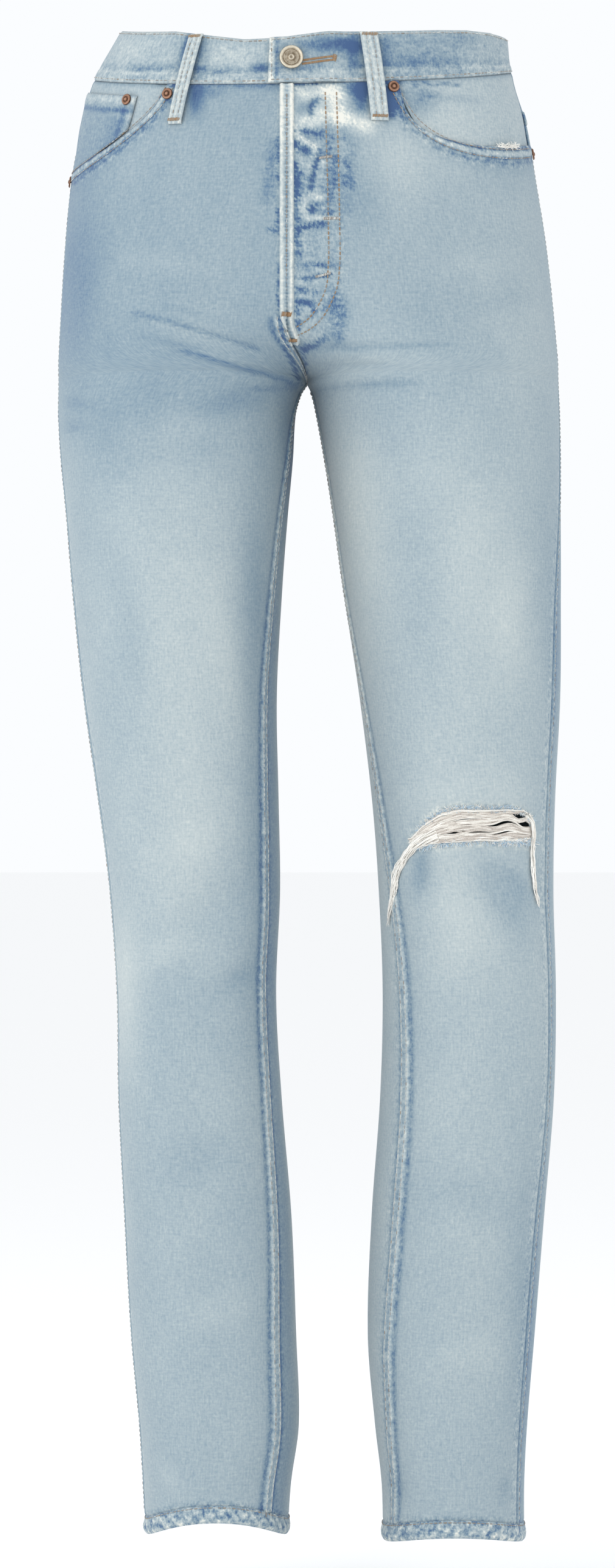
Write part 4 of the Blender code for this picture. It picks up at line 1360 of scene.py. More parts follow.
def pocket_fray(yarn, amount):
    """White yarn worn loose at the outer end of the wearer's left pocket opening."""
    each = (amount, 1)
    along, up = opening_curve("left")
    across, _ = oval_point("left", up, angle_from_side("left", "front", up, along))
    order = np.argsort(across)
    x = POCKET_FRAY_FROM + (POCKET_FRAY_TO - POCKET_FRAY_FROM) * rng.random(each) ** 0.6
    z = np.interp(x, across[order], up[order]) - 0.0004
    heading = rng.uniform(-0.4, 2.6, each)
    length = 0.0008 + 0.0034 * rng.random(each) ** 2.5
    t = np.linspace(0, 1, FRAY_POINTS)
    x, z = curling(x, z, length, heading, rng.uniform(-1.6, 1.6, each), t)
    size = 0.00028 * (1 - 0.5 * t) * (0.6 + 0.6 * rng.random(each))
    strands(yarn, left_front(x, z, 0.0006 + 0.0012 * t), size, rng.uniform(0.86, 1.0, amount))


def frayed_yarn():
    """All of the loose yarn, in one piece."""
    yarn = Tubes("rip_yarn", "frayed_yarn", loose_yarn, capped=False)
    weft(yarn)
    hank(yarn, LEFT_HANK, 34)
    hank(yarn, RIGHT_HANK, 18)
    frays(yarn, "top", 900, 0.0034, 0.60)
    frays(yarn, "bottom", 900, 0.0040, 0.70)
    pocket_fray(yarn, 150)
    yarn.finished()


frayed_yarn()

# ---------------------------------------------------------------- waistband

WAIST_PARTS = [("left", "front"), ("left", "back"), ("right", "back"), ("right", "front")]
FLAP_END = -0.0115
UNDERLAP_END = 0.018
FLAP_LIFT = BAND + 0.0003
WAIST_STEP = {"front": 0.0015, "back": 0.0036}
WAIST_ROWS = 22
SEAM_RIDGE = 0.0072
WAVE_LIFT = 0.00035
WAVE_FADE = 0.0315

# x across the front, and how far the worn top edge stands above its even line there
Edge = namedtuple("Edge", "x rise")
TOP_EDGE = table(Edge, [
    (-1500, 0),
    (-1260, 12),
    (-880, 24),
    (-420, -28),
    (-140, -20),
    (140, 12),
    (860, -2),
    (1060, -14),
    (1220, -42),
    (1360, -100),
])

# x is the distance from the centre front to the wearer's left, and z is the height above the seam; the
# darkest spots, in the band over the buttonhole and beside both front belt loops, are painted shadow
WAIST_FADE_AND_SHADING_SPOTS = table(Fade, [
    (330, 235, 240, 50, -0.50),
    (450, 170, 50, 120, -0.36),
    (560, 210, 28, 140, -0.36),
    (640, 150, 60, 110, -0.26),
    (900, 120, 180, 30, -0.14),
    (900, 150, 320, 200, -0.17),
    (-450, 150, 200, 200, 0.07),
    (1250, 260, 120, 40, -0.14),
    (-160, 110, 60, 45, -0.42),
    (-620, 200, 90, 120, -0.42),
    (-690, 250, 28, 110, -0.40),
    (-560, 80, 50, 40, -0.30),
    (-400, 80, 120, 22, -0.20),
    (-950, 90, 150, 22, -0.20),
    (120, 80, 100, 25, -0.20),
    (280, 60, 120, 30, 0.12),
    (-350, 200, 200, 60, 0.12),
    (-1200, 200, 300, 80, 0.10),
], 4)


def top_edge(x, y):
    """How far the waistband's top edge stands above its even line."""
    return np.interp(x, column(TOP_EDGE, "x"), column(TOP_EDGE, "rise")) * smooth((0.09 - y) / 0.10)


def band_place(part, share, up, out):
    """Points of one part of the waistband at heights up above its seam."""
    share, up, out = np.broadcast_arrays(np.asarray(share, float), up, out)

    def height(x, y):
        return waist_seam_z(x, y) + up * (1 + top_edge(x, y) / WAISTBAND_HEIGHT)

    z = level_at(*part, share, height)
    return cloth_point(part[0], z, panel_angle(*part, z, share)[0], out)


WaistColumn = namedtuple("WaistColumn", "part share distance")


def waist_columns():
    """The columns round the waist with their distances from the centre front, and the whole way round."""
    columns = []
    before = 0.0
    for part in WAIST_PARTS:
        length = float(arc_marks(*part, np.array(-0.01))[1][-1])
        count = round(length / WAIST_STEP[part[1]])
        outward = part in (("left", "front"), ("right", "back"))
        for k in (np.arange(count) + 0.5) / count:
            columns.append(WaistColumn(part, k if outward else 1 - k, before + k * length))
        before += length
    start = [c._replace(distance=c.distance - before) for c in columns if c.distance > before + FLAP_END]
    end = [c._replace(distance=c.distance + before) for c in columns if c.distance < UNDERLAP_END]
    return start + columns + end, before


def waist_place(columns, up, out):
    """Points of the whole waistband at these columns."""
    up, out = np.broadcast_arrays(up, out)
    points, normals = np.zeros((2, *up.shape, 3))
    for part in WAIST_PARTS:
        chosen = [k for k, c in enumerate(columns) if c.part == part]
        if chosen:
            share = [columns[k].share for k in chosen]
            place = band_place(part, share, up[..., chosen], out[..., chosen])
            points[..., chosen, :], normals[..., chosen, :] = place
    return points, normals


def waist_wave(distance, up):
    """The waistband's puckers over its lower seam."""
    return np.sin(distance * 2 * math.pi / 0.034 + 3 * np.sin(distance * 17)) * bump(up - 0.011, 0.006)


def waist_lift(distance, up):
    """How far the waistband stands out: its overlap at the fly, its padded lower edge and its puckers."""
    over = FLAP_LIFT * (1 - smooth((distance - UNDERLAP_END - 0.002) / 0.024))
    lower = ridge(up + 0.001, SEAM_RIDGE + 0.001, 0.0016)
    return over + 0.0005 * lower + WAVE_LIFT * waist_wave(distance, up)


def waistband():
    columns, girth = waist_columns()
    distance = np.array(column(columns, "distance"))
    up = np.linspace(WAISTBAND_HEIGHT, 0.0, WAIST_ROWS)[:, None]
    from_top = WAISTBAND_HEIGHT - up
    from_end = distance - distance[0]
    lift = waist_lift(distance, up) - hills(from_top, (0.0010, 0, 13))
    lift = lift - hills(up, (0.0006, 0, 8)) - hills(from_end, (0.0008, 0, 12))
    around = (distance + girth / 2) % girth - girth / 2
    fade = PLAIN_FADE + 0.02 + spots_at(around, up, WAIST_FADE_AND_SHADING_SPOTS) + hills(from_top, (0.16, 10, 13))
    fade = fade + hills(up, (0.10, 62, 12), (0.14, 10, 10), (-0.08, 98, 20))
    fade = fade + hills(from_end, (0.40, 14, 18), (-0.30, 52, 12))
    fade = fade + WAVE_FADE * waist_wave(distance, up)
    roping = 0.26 + 0.25 * smooth((0.012 - up) / 0.004) + hills(from_end, (0.4, 0, 60))
    return cloth_piece("waistband", waist_place(columns, up, lift), (distance, up), fade, roping, BAND)


waistband()

# ---------------------------------------------------------------- hip pocket facings and coin pocket

FACING_BELOW = 0.012
FACING_DEPTH = CLOTH + 0.0003
FACING_FADE = {"right": 0.11, "left": 0.15}
FACING_SIDE_MARKS = np.array([46, 36, 16, 8, 2, -4]) / TENTHS
COIN_REACH = 0.083
COIN_END = 0.0040
COIN_BELOW_SEAM = 0.0085


def facing_out(side, z, from_seam):
    """The facing's outer face: behind the front panel, and level with it where it meets the seams."""
    edge = seam_above(side, from_seam) - opening_drop(side, from_seam)
    return -FACING_DEPTH * (1 - smooth((z - edge - 0.004) / 0.028))


def pocket_facing(side):
    """The denim that shows above a hip pocket opening, and goes a little way down inside it."""
    from_seam = np.concatenate([np.linspace(OPENINGS[side].width + 0.008, 0.0060, 44), FACING_SIDE_MARKS])
    top = seam_above(side, from_seam)
    z = rows_between(top, top - opening_drop(side, from_seam) - FACING_BELOW, 40, last=True)

    def relief(z, _inner, outer):
        lift, fade, roping = outer_seam("front", outer, z)
        lift = lift + facing_out(side, z, outer) - 0.0003 - hills(z - top, (0.0005, 0, 12))
        # the facing is paler cloth, with painted shade just under the waistband
        return lift, fade + FACING_FADE[side] - hills(z - top, (0.20, 0, 22)), roping * 0.5 + 0.08

    return dress(f"pocket_facing_{side}", side, "front", z, -from_seam, 1.0, relief)


def coin_pocket():
    """The small patch on the wearer's right facing, down to the pocket opening."""
    from_seam = np.linspace(COIN_REACH, COIN_END, 40)
    seam = seam_above("right", from_seam)
    top = seam - COIN_BELOW_SEAM
    z = rows_between(top, seam - opening_drop("right", from_seam) - 0.0010, 30, last=True)

    def relief(z, _inner, outer):
        down, end = top - z, COIN_REACH - outer
        lift = facing_out("right", z, outer) + 0.0003 + CLOTH - hills(down, (0.0004, 0, 8))
        lift = lift + 0.0003 * ridge(down, 0.0080, 0.0012) + 0.0003 * ridge(end, 0.0060, 0.0012)
        lift = lift - hills(end, (0.0005, 0, 10))
        fade = hills(down, (0.22, 30, 30), (-0.24, 100, 16)) - 0.04
        fade = fade + hills(end, (0.14, 10, 12), (-0.18, 80, 22))
        fade = fade - hills(end, (0.12, 120, 100)) * smooth((down - 0.0120) / 0.0060)
        return lift, fade, 0.12 + 0.25 * smooth((0.012 - np.minimum(down, end)) / 0.004)

    return dress("coin_pocket", "right", "front", z, -from_seam, 1.0, relief)


for side in SIDES:
    pocket_facing(side)
coin_pocket()

# ---------------------------------------------------------------- back pockets

BackPocket = namedtuple("BackPocket", "from_side top_z height point top_width bottom_width")
BACK_POCKET = BackPocket(0.108, -0.112, 0.118, 0.018, 0.136, 0.116)
POCKET_LIFT = 0.0016
POCKET_HEM = 0.014


def back_pocket_at(side, down, across):
    """z, angle and distance from a back pocket's middle, for down in 0 to 1 and across in -1 to 1."""
    size = BACK_POCKET
    z = size.top_z - size.height * down - size.point * (1 - np.abs(across)) * down
    width = size.top_width + (size.bottom_width - size.top_width) * down
    return z, angle_from_side(side, "back", z, size.from_side - across * width / 2), across * width / 2


def back_pocket(side):
    """A plain patch pocket with a pointed bottom edge."""
    edge = np.array([0.0, 0.006, 0.014, 0.03, 0.05])
    across = np.concatenate([edge, np.linspace(0.05, 1.95, 60)[1:-1], 2 - edge[::-1]]) - 1
    down = np.concatenate([edge / 2, np.linspace(0.025, 0.975, 50)[1:-1], 1 - edge[::-1] / 2])[:, None]
    from_top = down * BACK_POCKET.height
    from_edge = (1 - np.abs(across)) * BACK_POCKET.bottom_width / 2
    from_edge = np.minimum(from_edge, (1 - down) * BACK_POCKET.height)
    lift = POCKET_LIFT + CLOTH - hills(from_edge, (0.0009, 0, 8)) - hills(from_top, (0.0006, 0, 8))
    lift = lift + 0.0004 * ridge(from_edge, 0.0088, 0.0012) + 0.0004 * ridge(from_top, POCKET_HEM, 0.0012)
    z, angle, from_middle = back_pocket_at(side, down, across)
    place = cloth_point(side, z, angle, lift)
    fade = fade_and_shading_at(np.zeros(z.shape, bool), place[0][..., 0], z, np.abs(np.sin(angle))) + 0.03
    fade = fade + hills(from_edge, (0.14, 10, 11), (-0.12, 104, 20))
    fade = fade + hills(from_top, (0.14, 12, 12), (-0.12, 160, 20))
    roping = 0.25 + 0.45 * smooth((0.013 - np.minimum(from_edge, from_top)) / 0.004)
    return cloth_piece(f"back_pocket_{side}", place, (from_middle, z), fade, roping)


for side in SIDES:
    back_pocket(side)

# ---------------------------------------------------------------- fly strip, belt loops and hems

PATCH_LIFT = 0.0008
FLY_STRIP_END_Z = -0.1985
FLY_NARROWS_Z = -0.1820
LOOP_THICK = 0.0016
LOOP_CLOTH = 0.0014
LOOP_STAND_OFF = 0.0026
HEM_COLUMNS = 260

# hundredths of half the width at which the columns stand
FLY_ACROSS = [-100, -97, -90, -78, -62, -46, -30, -12, 6, 24, 42, 58, 72, 84, 93, 98, 100]
LOOP_ACROSS = [-100, -96, -88, -72, -52, -34, -18, 0, 18, 34, 52, 72, 88, 96, 100]
# heights of a hem's rows above the leg's mouth, in tenths of a millimetre
HEM_UP = [121, 117, 112, 104, 94, 80, 66, 52, 38, 26, 16, 8, 2, 0]


def front_x_place(z, x, out):
    """Points of the front at x, on whichever side of the centre seam they fall."""
    z, x, out = np.broadcast_arrays(z, x, out)
    points, normals = np.zeros((2, *z.shape, 3))
    on_left = x > front_centre(z)
    for side, chosen in (("left", on_left), ("right", ~on_left)):
        angle = angle_at_x(side, "front", z[chosen], x[chosen])
        points[chosen], normals[chosen] = cloth_point(side, z[chosen], angle, out[chosen])
    return points, normals


def fly_middle_x(z):
    """The middle of the fly strip, which leans over to the crotch at its foot."""
    return FLY_X + 0.0005 + 0.0050 * smooth((FLY_NARROWS_Z - z) / (FLY_NARROWS_Z - FLY_STRIP_END_Z))


def fly_strip():
    """The felled edge of the button fly: two rubbed folds with a stitched trough between."""
    across = np.array(FLY_ACROSS) / 100
    z = np.linspace(waist_seam_z(FLY_X, FLY_TOP_Y) - 0.0010, FLY_STRIP_END_Z, 330)[:, None]
    half = FLY_STRIP_WIDTH / 2 * (1 - 0.22 * smooth((FLY_NARROWS_Z - z) / 0.008))
    x = fly_middle_x(z) + across * half
    folds = bump(across + 0.72, 0.26) + 1.1 * bump(across - 0.70, 0.26)
    wave = 0.5 + 0.5 * np.sin(z * 2700 + 2.0 * np.sin(z * 260))
    lift = PATCH_LIFT + CLOTH * 0.6 + 0.0007 * folds - hills((1 - np.abs(across)) * half, (0.0018, 0, 5))
    lift = lift - 0.0003 * bump(across, 0.25) * wave
    fade = 0.60 + 0.25 * folds - 0.10 * bump(across + 0.02, 0.24)
    fade = fade + 0.14 * bump(z + 0.045, 0.025) - 0.22 * wave * bump(across + 0.05, 0.30)
    return cloth_piece("fly_strip", front_x_place(z, x, lift), (x, z), fade, 0.30, worn=True)


Loop = namedtuple("Loop", "name side face top_x bottom_x drop width")
LOOPS = [
    Loop("front_right", "right", "front", -0.0730, -0.0875, 0.026, 0.0095),
    Loop("front_left", "left", "front", 0.0395, 0.0470, 0.0255, 0.0120),
    Loop("side_right", "right", "back", -0.1120, -0.1230, 0.024, 0.0105),
    Loop("side_left", "left", "back", 0.1180, 0.1230, 0.024, 0.0105),
    Loop("back", "left", "back", 0.0060, 0.0060, 0.024, 0.0105),
]


def step_angle(side, z, angle, distance):
    """Angles moved by short distances along the cloth."""
    small = 0.01
    apart = np.stack(oval_point(side, z, angle + small)) - np.stack(oval_point(side, z, angle - small))
    return angle + distance * 2 * small / np.hypot(*apart)


def loop_place(loop, down, distance, out):
    """Points of a belt loop, down from 0 to 1 and distance from its middle line."""
    down, distance, out = np.broadcast_arrays(down, distance, out)
    x = loop.top_x + (loop.bottom_x - loop.top_x) * down
    z = np.zeros(down.shape)
    for _ in range(6):
        _, y = oval_point(loop.side, z, angle_at_x(loop.side, loop.face, z, x))
        z = waist_seam_z(x, y) + WAISTBAND_HEIGHT - 0.0006 - (WAISTBAND_HEIGHT + loop.drop) * down
        z = z + top_edge(x, y) * (1 - down) ** 2
    angle = step_angle(loop.side, z, angle_at_x(loop.side, loop.face, z, x), distance)
    base = PATCH_LIFT + LOOP_THICK + LOOP_STAND_OFF * np.sin(math.pi * np.clip(down, 0, 1)) ** 0.7
    return cloth_point(loop.side, z, angle, base + out)


def belt_loop(loop):
    """A strip over the waistband with three rubbed ridges, folded under at its ends."""
    across = np.array(LOOP_ACROSS) / 100
    down = np.concatenate([[0.0, 0.004, 0.012], np.linspace(0.02, 0.98, 46), [0.988, 0.996, 1.0]])[:, None]
    ridges = bump(across + 0.74, 0.20) + bump(across, 0.20) + bump(across - 0.74, 0.20)
    length = WAISTBAND_HEIGHT + loop.drop
    from_end = np.minimum(down, 1 - down) * length
    lift = 0.0005 * ridges - hills((1 - np.abs(across)) * loop.width / 2, (0.0010, 0, 5))
    lift = lift + hills(from_end, (-0.0010, 0, 8), (0.0004, 30, 15))
    distance = across * loop.width / 2
    fade = 0.56 + 0.20 * ridges + hills(from_end, (0.10, 12, 12))
    place = loop_place(loop, down, distance, lift)
    uv = (distance, -down * length)
    return cloth_piece(f"belt_loop_{loop.name}", place, uv, fade, 0.35, LOOP_CLOTH, worn=True)


def hem(side):
    """The turned-up band round a leg's mouth, roped by its stitching."""
    angle = np.linspace(0, 2 * math.pi, HEM_COLUMNS, endpoint=False)
    angle, up = np.broadcast_arrays(angle, np.array(HEM_UP)[:, None] / TENTHS)
    z = level_round(side, angle, up)
    x, y = oval_point(side, z, angle)
    around = np.concatenate([[0.0], np.cumsum(np.hypot(np.diff(x[5]), np.diff(y[5])))])
    twist = np.sin((around + 0.9 * up) * 2 * math.pi / 0.0085 + 1.9 * np.sin(around * 61))
    middle = hills(up, (1, 50, 40))
    lift = 0.0003 + (0.0007 + 0.0004 * twist) * middle
    lift = lift + hills(up, (-0.0010, 0, 8), (-0.0009, 121, 10))
    for seam, width in zip(seam_angles(side, "front", -0.99), (0.20, 0.14)):
        lift = lift + 0.0008 * bump(wrapped(angle - seam), width) * middle
    fade = 0.50 + 0.12 * twist * (0.4 + middle) + hills(up, (0.12, 12, 12), (-0.12, 112, 12))
    place = cloth_point(side, z, angle, lift)
    return cloth_piece(f"hem_{side}", place, (around, z), fade, 1.0, BAND, ring=True)


fly_strip()
for loop in LOOPS:
    belt_loop(loop)
for side in SIDES:
    hem(side)

# ---------------------------------------------------------------- stitches

STITCH = 0.0032
STITCH_GAP = 0.0006
THREAD_RADIUS = 0.00034
TACK_RADIUS = 0.00036
TACK_STEP = 0.00055
TACK_LEAN = 0.0003
STITCH_SIDES = 5
STITCH_FLATNESS = 0.85
TONE_SPREAD = 0.18
PATH_STEP = 0.0008
HEIGHT_STEP = 0.0016

# how far the rows of stitches run from their seam or edge
INSEAM_ROWS = (0.0018, 0.0064)
SEAT_ROWS = (0.0018, 0.0066)
OUTSEAM_ROW = 0.0030
HEM_ROW = 0.0106
BAND_ROWS = (0.0302, 0.0017)
HIP_POCKET_ROWS = (0.0018, 0.0076)
YOKE_STITCH_ROWS = (0.0006, 0.0066)
BACK_POCKET_ROWS = (0.0018, 0.0074)
BACK_POCKET_HEM_ROWS = (0.0018, 0.0125)
# how far the waistband's rows stop short of its flap's end and of its underlap
FLAP_ROW_GAP = 0.001
UNDERLAP_ROW_GAP = 0.012
# shares of a belt loop's width, from its middle
LOOP_STITCH_ROWS = (-0.37, 0.37)

# along each stitch: share of its length, share of its radius, height of its middle in radii
STITCH_RINGS = np.array([
    (0.00, 0.35, -0.6),
    (0.16, 0.90, 0.25),
    (0.50, 1.00, 0.45),
    (0.84, 0.90, 0.25),
    (1.00, 0.35, -0.6),
])


def stitches(seams, start, end, up, radius, tone):
    """A stitch from each start to each end, standing on the cloth whose normal is up."""
    run = end - start
    side = unit(np.cross(unit(run), up))
    turn = 2 * math.pi * np.arange(STITCH_SIDES) / STITCH_SIDES
    share, size, height = STITCH_RINGS.T
    middle = start[:, None] + run[:, None] * share[:, None] + up[:, None] * (height * radius)[:, None]
    arm = side[:, None] * np.cos(turn)[:, None] + STITCH_FLATNESS * up[:, None] * np.sin(turn)[:, None]
    rings = middle[:, :, None] + arm[:, None] * (size * radius)[:, None, None]
    seams.add(rings, np.clip(tone + TONE_SPREAD * rng.standard_normal(len(start)), 0, 1))


def distances(points):
    """How far along a path each of its points is."""
    return np.concatenate([[0.0], np.cumsum(np.linalg.norm(np.diff(points, axis=0), axis=-1))])


def read_path(at, marks, values):
    """A path's points or normals at distances along it."""
    return np.stack([np.interp(at, marks, values[:, k]) for k in range(3)], -1)


def row(seams, path, tone, radius=THREAD_RADIUS):
    """A row of stitches along a path given as points and normals."""
    points, normals = path
    marks = distances(points)
    count = max(int(marks[-1] / STITCH), 1)
    first = (np.arange(count) + 0.5) * marks[-1] / count - (STITCH - STITCH_GAP) / 2
    up = unit(read_path(first + STITCH / 2, marks, normals))
    start, end = (read_path(at, marks, points) for at in (first, first + STITCH - STITCH_GAP))
    stitches(seams, start, end, up, radius, tone)


def tack(seams, path, width, tone):
    """A bar tack: dense stitches across a short path."""
    points = path[0]
    marks = distances(points)
    at = np.arange(0, marks[-1], TACK_STEP)
    middle, up = (read_path(at, marks, values) for values in path)
    along = (points[-1] - points[0]) / marks[-1]
    across = unit(np.cross(up, along))
    reach = across * (width / 2) * (1 + 0.12 * rng.standard_normal((len(at), 1))) + along * TACK_LEAN
    stitches(seams, middle - reach, middle + reach, up, TACK_RADIUS, tone)


def panel_path(side, face, z, inner, out):
    """A path on a panel at a distance from its inner seam."""
    angles, marks = arc_marks(side, face, z)
    return cloth_point(side, z, read_at(np.full(z.shape, inner), marks, angles), out)


def outer_path(side, face, z, outer, out):
    """A path on a panel at distances from its outseam."""
    return cloth_point(side, z, angle_from_side(side, face, z, outer), out)


def heights(top, bottom):
    """Close even heights down a seam."""
    return np.linspace(top, bottom, max(int((top - bottom) / HEIGHT_STEP), 2))


def on_front(corners, out):
    """A smooth dense path on the front through a few corners, each (x, z)."""
    corners = np.array(corners, float)
    marks = distances(corners)
    at = np.linspace(0, marks[-1], max(int(marks[-1] / PATH_STEP), 2))
    slope = np.gradient(corners, marks, axis=0)
    k = np.clip(np.searchsorted(marks, at) - 1, 0, len(marks) - 2)
    span = (marks[k + 1] - marks[k])[:, None]
    t = (at - marks[k])[:, None] / span
    line = hermite(t, corners[k], corners[k + 1], span * slope[k], span * slope[k + 1])
    return front_x_place(line[:, 1], line[:, 0], out)


def leg_stitching(seams):
    """The inner seams, the outseams, the hems and the seat."""
    for side in SIDES:
        hem_top = MOUTHS[side].level + HEM_HEIGHT + 0.004
        for inner in INSEAM_ROWS:
            z = heights(STRIP_START_Z[side] - 0.002, hem_top)
            row(seams, panel_path(side, "front", z, inner, STRIP_LIFT), 0.12)
        row(seams, outer_path(side, "back", heights(-0.064, hem_top), OUTSEAM_ROW, 0.0006), 0.15)
        turn = np.linspace(0, 2 * math.pi, 400)
        row(seams, cloth_point(side, level_round(side, turn, HEM_ROW), turn, 0.0004), 0.45)
    for inner in SEAT_ROWS:
        row(seams, panel_path("left", "back", heights(-0.085, CROTCH_Z + 0.004), inner, STRIP_LIFT), 0.2)


J_OUTER = [
    (0.0186, -0.034), (0.0197, -0.075), (0.0206, -0.120), (0.0206, -0.150), (0.0192, -0.163),
    (0.0150, -0.174), (0.0080, -0.185), (-0.0010, -0.1915), (-0.0075, -0.194),
]
J_INNER = [
    (0.0112, -0.034), (0.0122, -0.075), (0.0132, -0.120), (0.0132, -0.150), (0.0118, -0.164),
    (0.0070, -0.175), (0.0000, -0.184), (-0.0080, -0.189),
]
STRIP_STITCHES = [(FLY_X + 0.0005, -0.036), (FLY_X + 0.0005, -0.178)]
FLY_TACKS = [
    [(0.0075, -0.0785), (0.0160, -0.0775)],
    [(0.0100, -0.1190), (0.0205, -0.1185)],
    [(0.0050, -0.1570), (0.0150, -0.1545)],
]

StripTack = namedtuple("StripTack", "z width tone")
STRIP_TACKS = [StripTack(-0.1800, 0.0078, 1.0), StripTack(-0.1955, 0.0062, 0.85)]

BUTTONHOLE = ((-0.0040, -0.0154), (0.0170, -0.0120))
BUTTONHOLE_SLIT = 0.0004
BUTTONHOLE_REACH = 0.0019


def buttonhole(seams):
    """Close tan stitches on both sides of a slit, and across its far end."""
    t = np.linspace(0, 1, 44)
    (x0, z0), (x1, z1) = BUTTONHOLE
    slope = (z1 - z0) / (x1 - x0)
    x, z = x0 + (x1 - x0) * t, z0 + (z1 - z0) * t
    lift = waist_lift(x - FLY_X, WAISTBAND_HEIGHT / 2) + 0.0002
    for way in (-1, 1):
        (start, up), (end, _) = (
            front_x_place(z + way * reach, x - way * slope * reach, lift)
            for reach in (BUTTONHOLE_SLIT, BUTTONHOLE_REACH)
        )
        stitches(seams, start, end, up, THREAD_RADIUS, 0.97)
    far_end = [(x1, z1 - BUTTONHOLE_REACH), (x1 + 0.0006, z1 + BUTTONHOLE_REACH)]
    tack(seams, on_front(far_end, lift[-1] + 0.0002), 0.0026, 0.75)


def waist_path(up):
    """A path round the waistband from its flap to its underlap."""
    columns, girth = waist_columns()
    start, end = FLAP_END + FLAP_ROW_GAP, girth - UNDERLAP_ROW_GAP
    columns = [c for c in columns if start <= c.distance <= end]
    return waist_place(columns, up, waist_lift(np.array(column(columns, "distance")), up))


def fly_stitching(seams):
    """The flap's end, the J of the fly, the buttonhole, the strip and their tacks."""
    z = waist_seam_z(FLY_X, FLY_TOP_Y) + np.linspace(0.0020, 0.0300, 30)
    angle = angle_at_x("right", "front", z, FLY_X - 0.0095)
    row(seams, cloth_point("right", z, angle, FLAP_LIFT + 0.0001), 0.2)
    for corners in (J_OUTER, J_INNER):
        row(seams, on_front(corners, 0.0001), 0.72, 0.00040)
    buttonhole(seams)
    row(seams, on_front(STRIP_STITCHES, PATCH_LIFT + 0.0008), 0.5)
    for corners in FLY_TACKS:
        tack(seams, on_front(corners, 0.0003), 0.0018, 0.25)
    for z, width, tone in STRIP_TACKS:
        x = float(fly_middle_x(z))
        corners = [(x - width / 2, z), (x + width / 2, z)]
        tack(seams, on_front(corners, PATCH_LIFT + 0.0014), 0.0034, tone)


def body_stitching(seams):
    """The waistband, the fly, the hip pockets and the belt loops."""
    for up in BAND_ROWS:
        row(seams, waist_path(up), 0.30)
    fly_stitching(seams)
    for side in SIDES:
        along, up = opening_curve(side)
        slope = unit(np.stack([np.gradient(along), np.gradient(up)], -1))
        for away in HIP_POCKET_ROWS:
            outer = along - slope[:, 1] * away
            z = up + slope[:, 0] * away
            row(seams, outer_path(side, "front", z[3:-3], outer[3:-3], 0.0006), 0.38)
    for loop in LOOPS:
        for across in LOOP_STITCH_ROWS:
            path = loop_place(loop, np.linspace(0.05, 0.95, 60), across * loop.width / 2, 0.0002)
            row(seams, path, 0.20, 0.00032)
        for down in (0.035, 0.955):
            path = loop_place(loop, down, np.linspace(-0.42, 0.42, 10) * loop.width, 0.0007)
            tack(seams, path, 0.0022, 0.75)


def pocket_path(side, down, across):
    """A path on a back pocket."""
    z, angle, _ = back_pocket_at(side, down, across)
    return cloth_point(side, z, angle, POCKET_LIFT + CLOTH + 0.0004)


def back_stitching(seams):
    """The yokes and the back pockets."""
    for side in SIDES:
        share = np.linspace(0.03, 0.985, 120)
        for up in YOKE_STITCH_ROWS:
            z = yoke_line(side, "back", share) + up
            row(seams, cloth_point(side, z, panel_angle(side, "back", z, share)[0], 0.0010), 0.35)
        for inset in BACK_POCKET_ROWS:
            edge = 1 - 2 * inset / BACK_POCKET.bottom_width
            foot = 1 - inset / BACK_POCKET.height
            down = np.linspace(0.012, foot, 60)
            for path in ((down, -edge), (foot, np.linspace(-edge, edge, 80)), (down[::-1], edge)):
                row(seams, pocket_path(side, *path), 0.35)
        for inset in BACK_POCKET_HEM_ROWS:
            down = inset / BACK_POCKET.height
            row(seams, pocket_path(side, down, np.linspace(-0.97, 0.97, 90)), 0.35)
        for across in (-0.955, 0.955):
            tack(seams, pocket_path(side, np.linspace(0.02, 0.09, 8), across), 0.0024, 0.75)


for name, sew in (("legs", leg_stitching), ("body", body_stitching), ("back", back_stitching)):
    seams = Tubes("stitching_" + name, "thread", thread, capped=True)
    sew(seams)
    seams.finished()

# ---------------------------------------------------------------- button and rivets

# each ring: share of the node's radius, share of its height, rubbing from 0 to 1, which on the rivets'
# flange ring is also a painted highlight
Ring = namedtuple("Ring", "radius height rub")
BUTTON_RINGS = [
    Ring(0.00, 0.74, 0.30),
    Ring(0.10, 0.74, 0.25),
    Ring(0.15, 0.80, 0.70),
    Ring(0.22, 0.80, 0.70),
    Ring(0.27, 0.72, 0.05),
    Ring(0.48, 0.74, 0.35),
    Ring(0.56, 0.74, 0.20),
    Ring(0.60, 0.79, 0.65),
    Ring(0.64, 0.74, 0.10),
    Ring(0.70, 0.72, 0.00),
    Ring(0.76, 0.84, 0.60),
    Ring(0.84, 0.97, 0.95),
    Ring(0.90, 1.00, 1.00),
    Ring(0.96, 0.92, 0.80),
    Ring(0.99, 0.78, 0.45),
    Ring(1.00, 0.62, 0.20),
    Ring(0.97, 0.46, 0.00),
    Ring(0.80, 0.38, 0.00),
    Ring(0.46, 0.34, 0.00),
    Ring(0.46, 0.00, 0.00),
]
# the pale ring round each rivet's flange is rubbed copper with a painted highlight
RIVET_RINGS = [
    Ring(0.00, 1.00, 1.00),
    Ring(0.16, 0.97, 0.90),
    Ring(0.28, 0.84, 0.50),
    Ring(0.36, 0.62, 0.05),
    Ring(0.46, 0.52, 0.00),
    Ring(0.60, 0.62, 0.40),
    Ring(0.74, 0.64, 0.90),
    Ring(0.86, 0.56, 0.80),
    Ring(0.95, 0.40, 0.40),
    Ring(1.00, 0.16, 0.10),
    Ring(1.00, 0.00, 0.00),
]
RIVETS = ["front_right", "front_left", "side_right", "side_left", "coin"]
TURN_STEPS = 56
LEAST_RING = 0.004


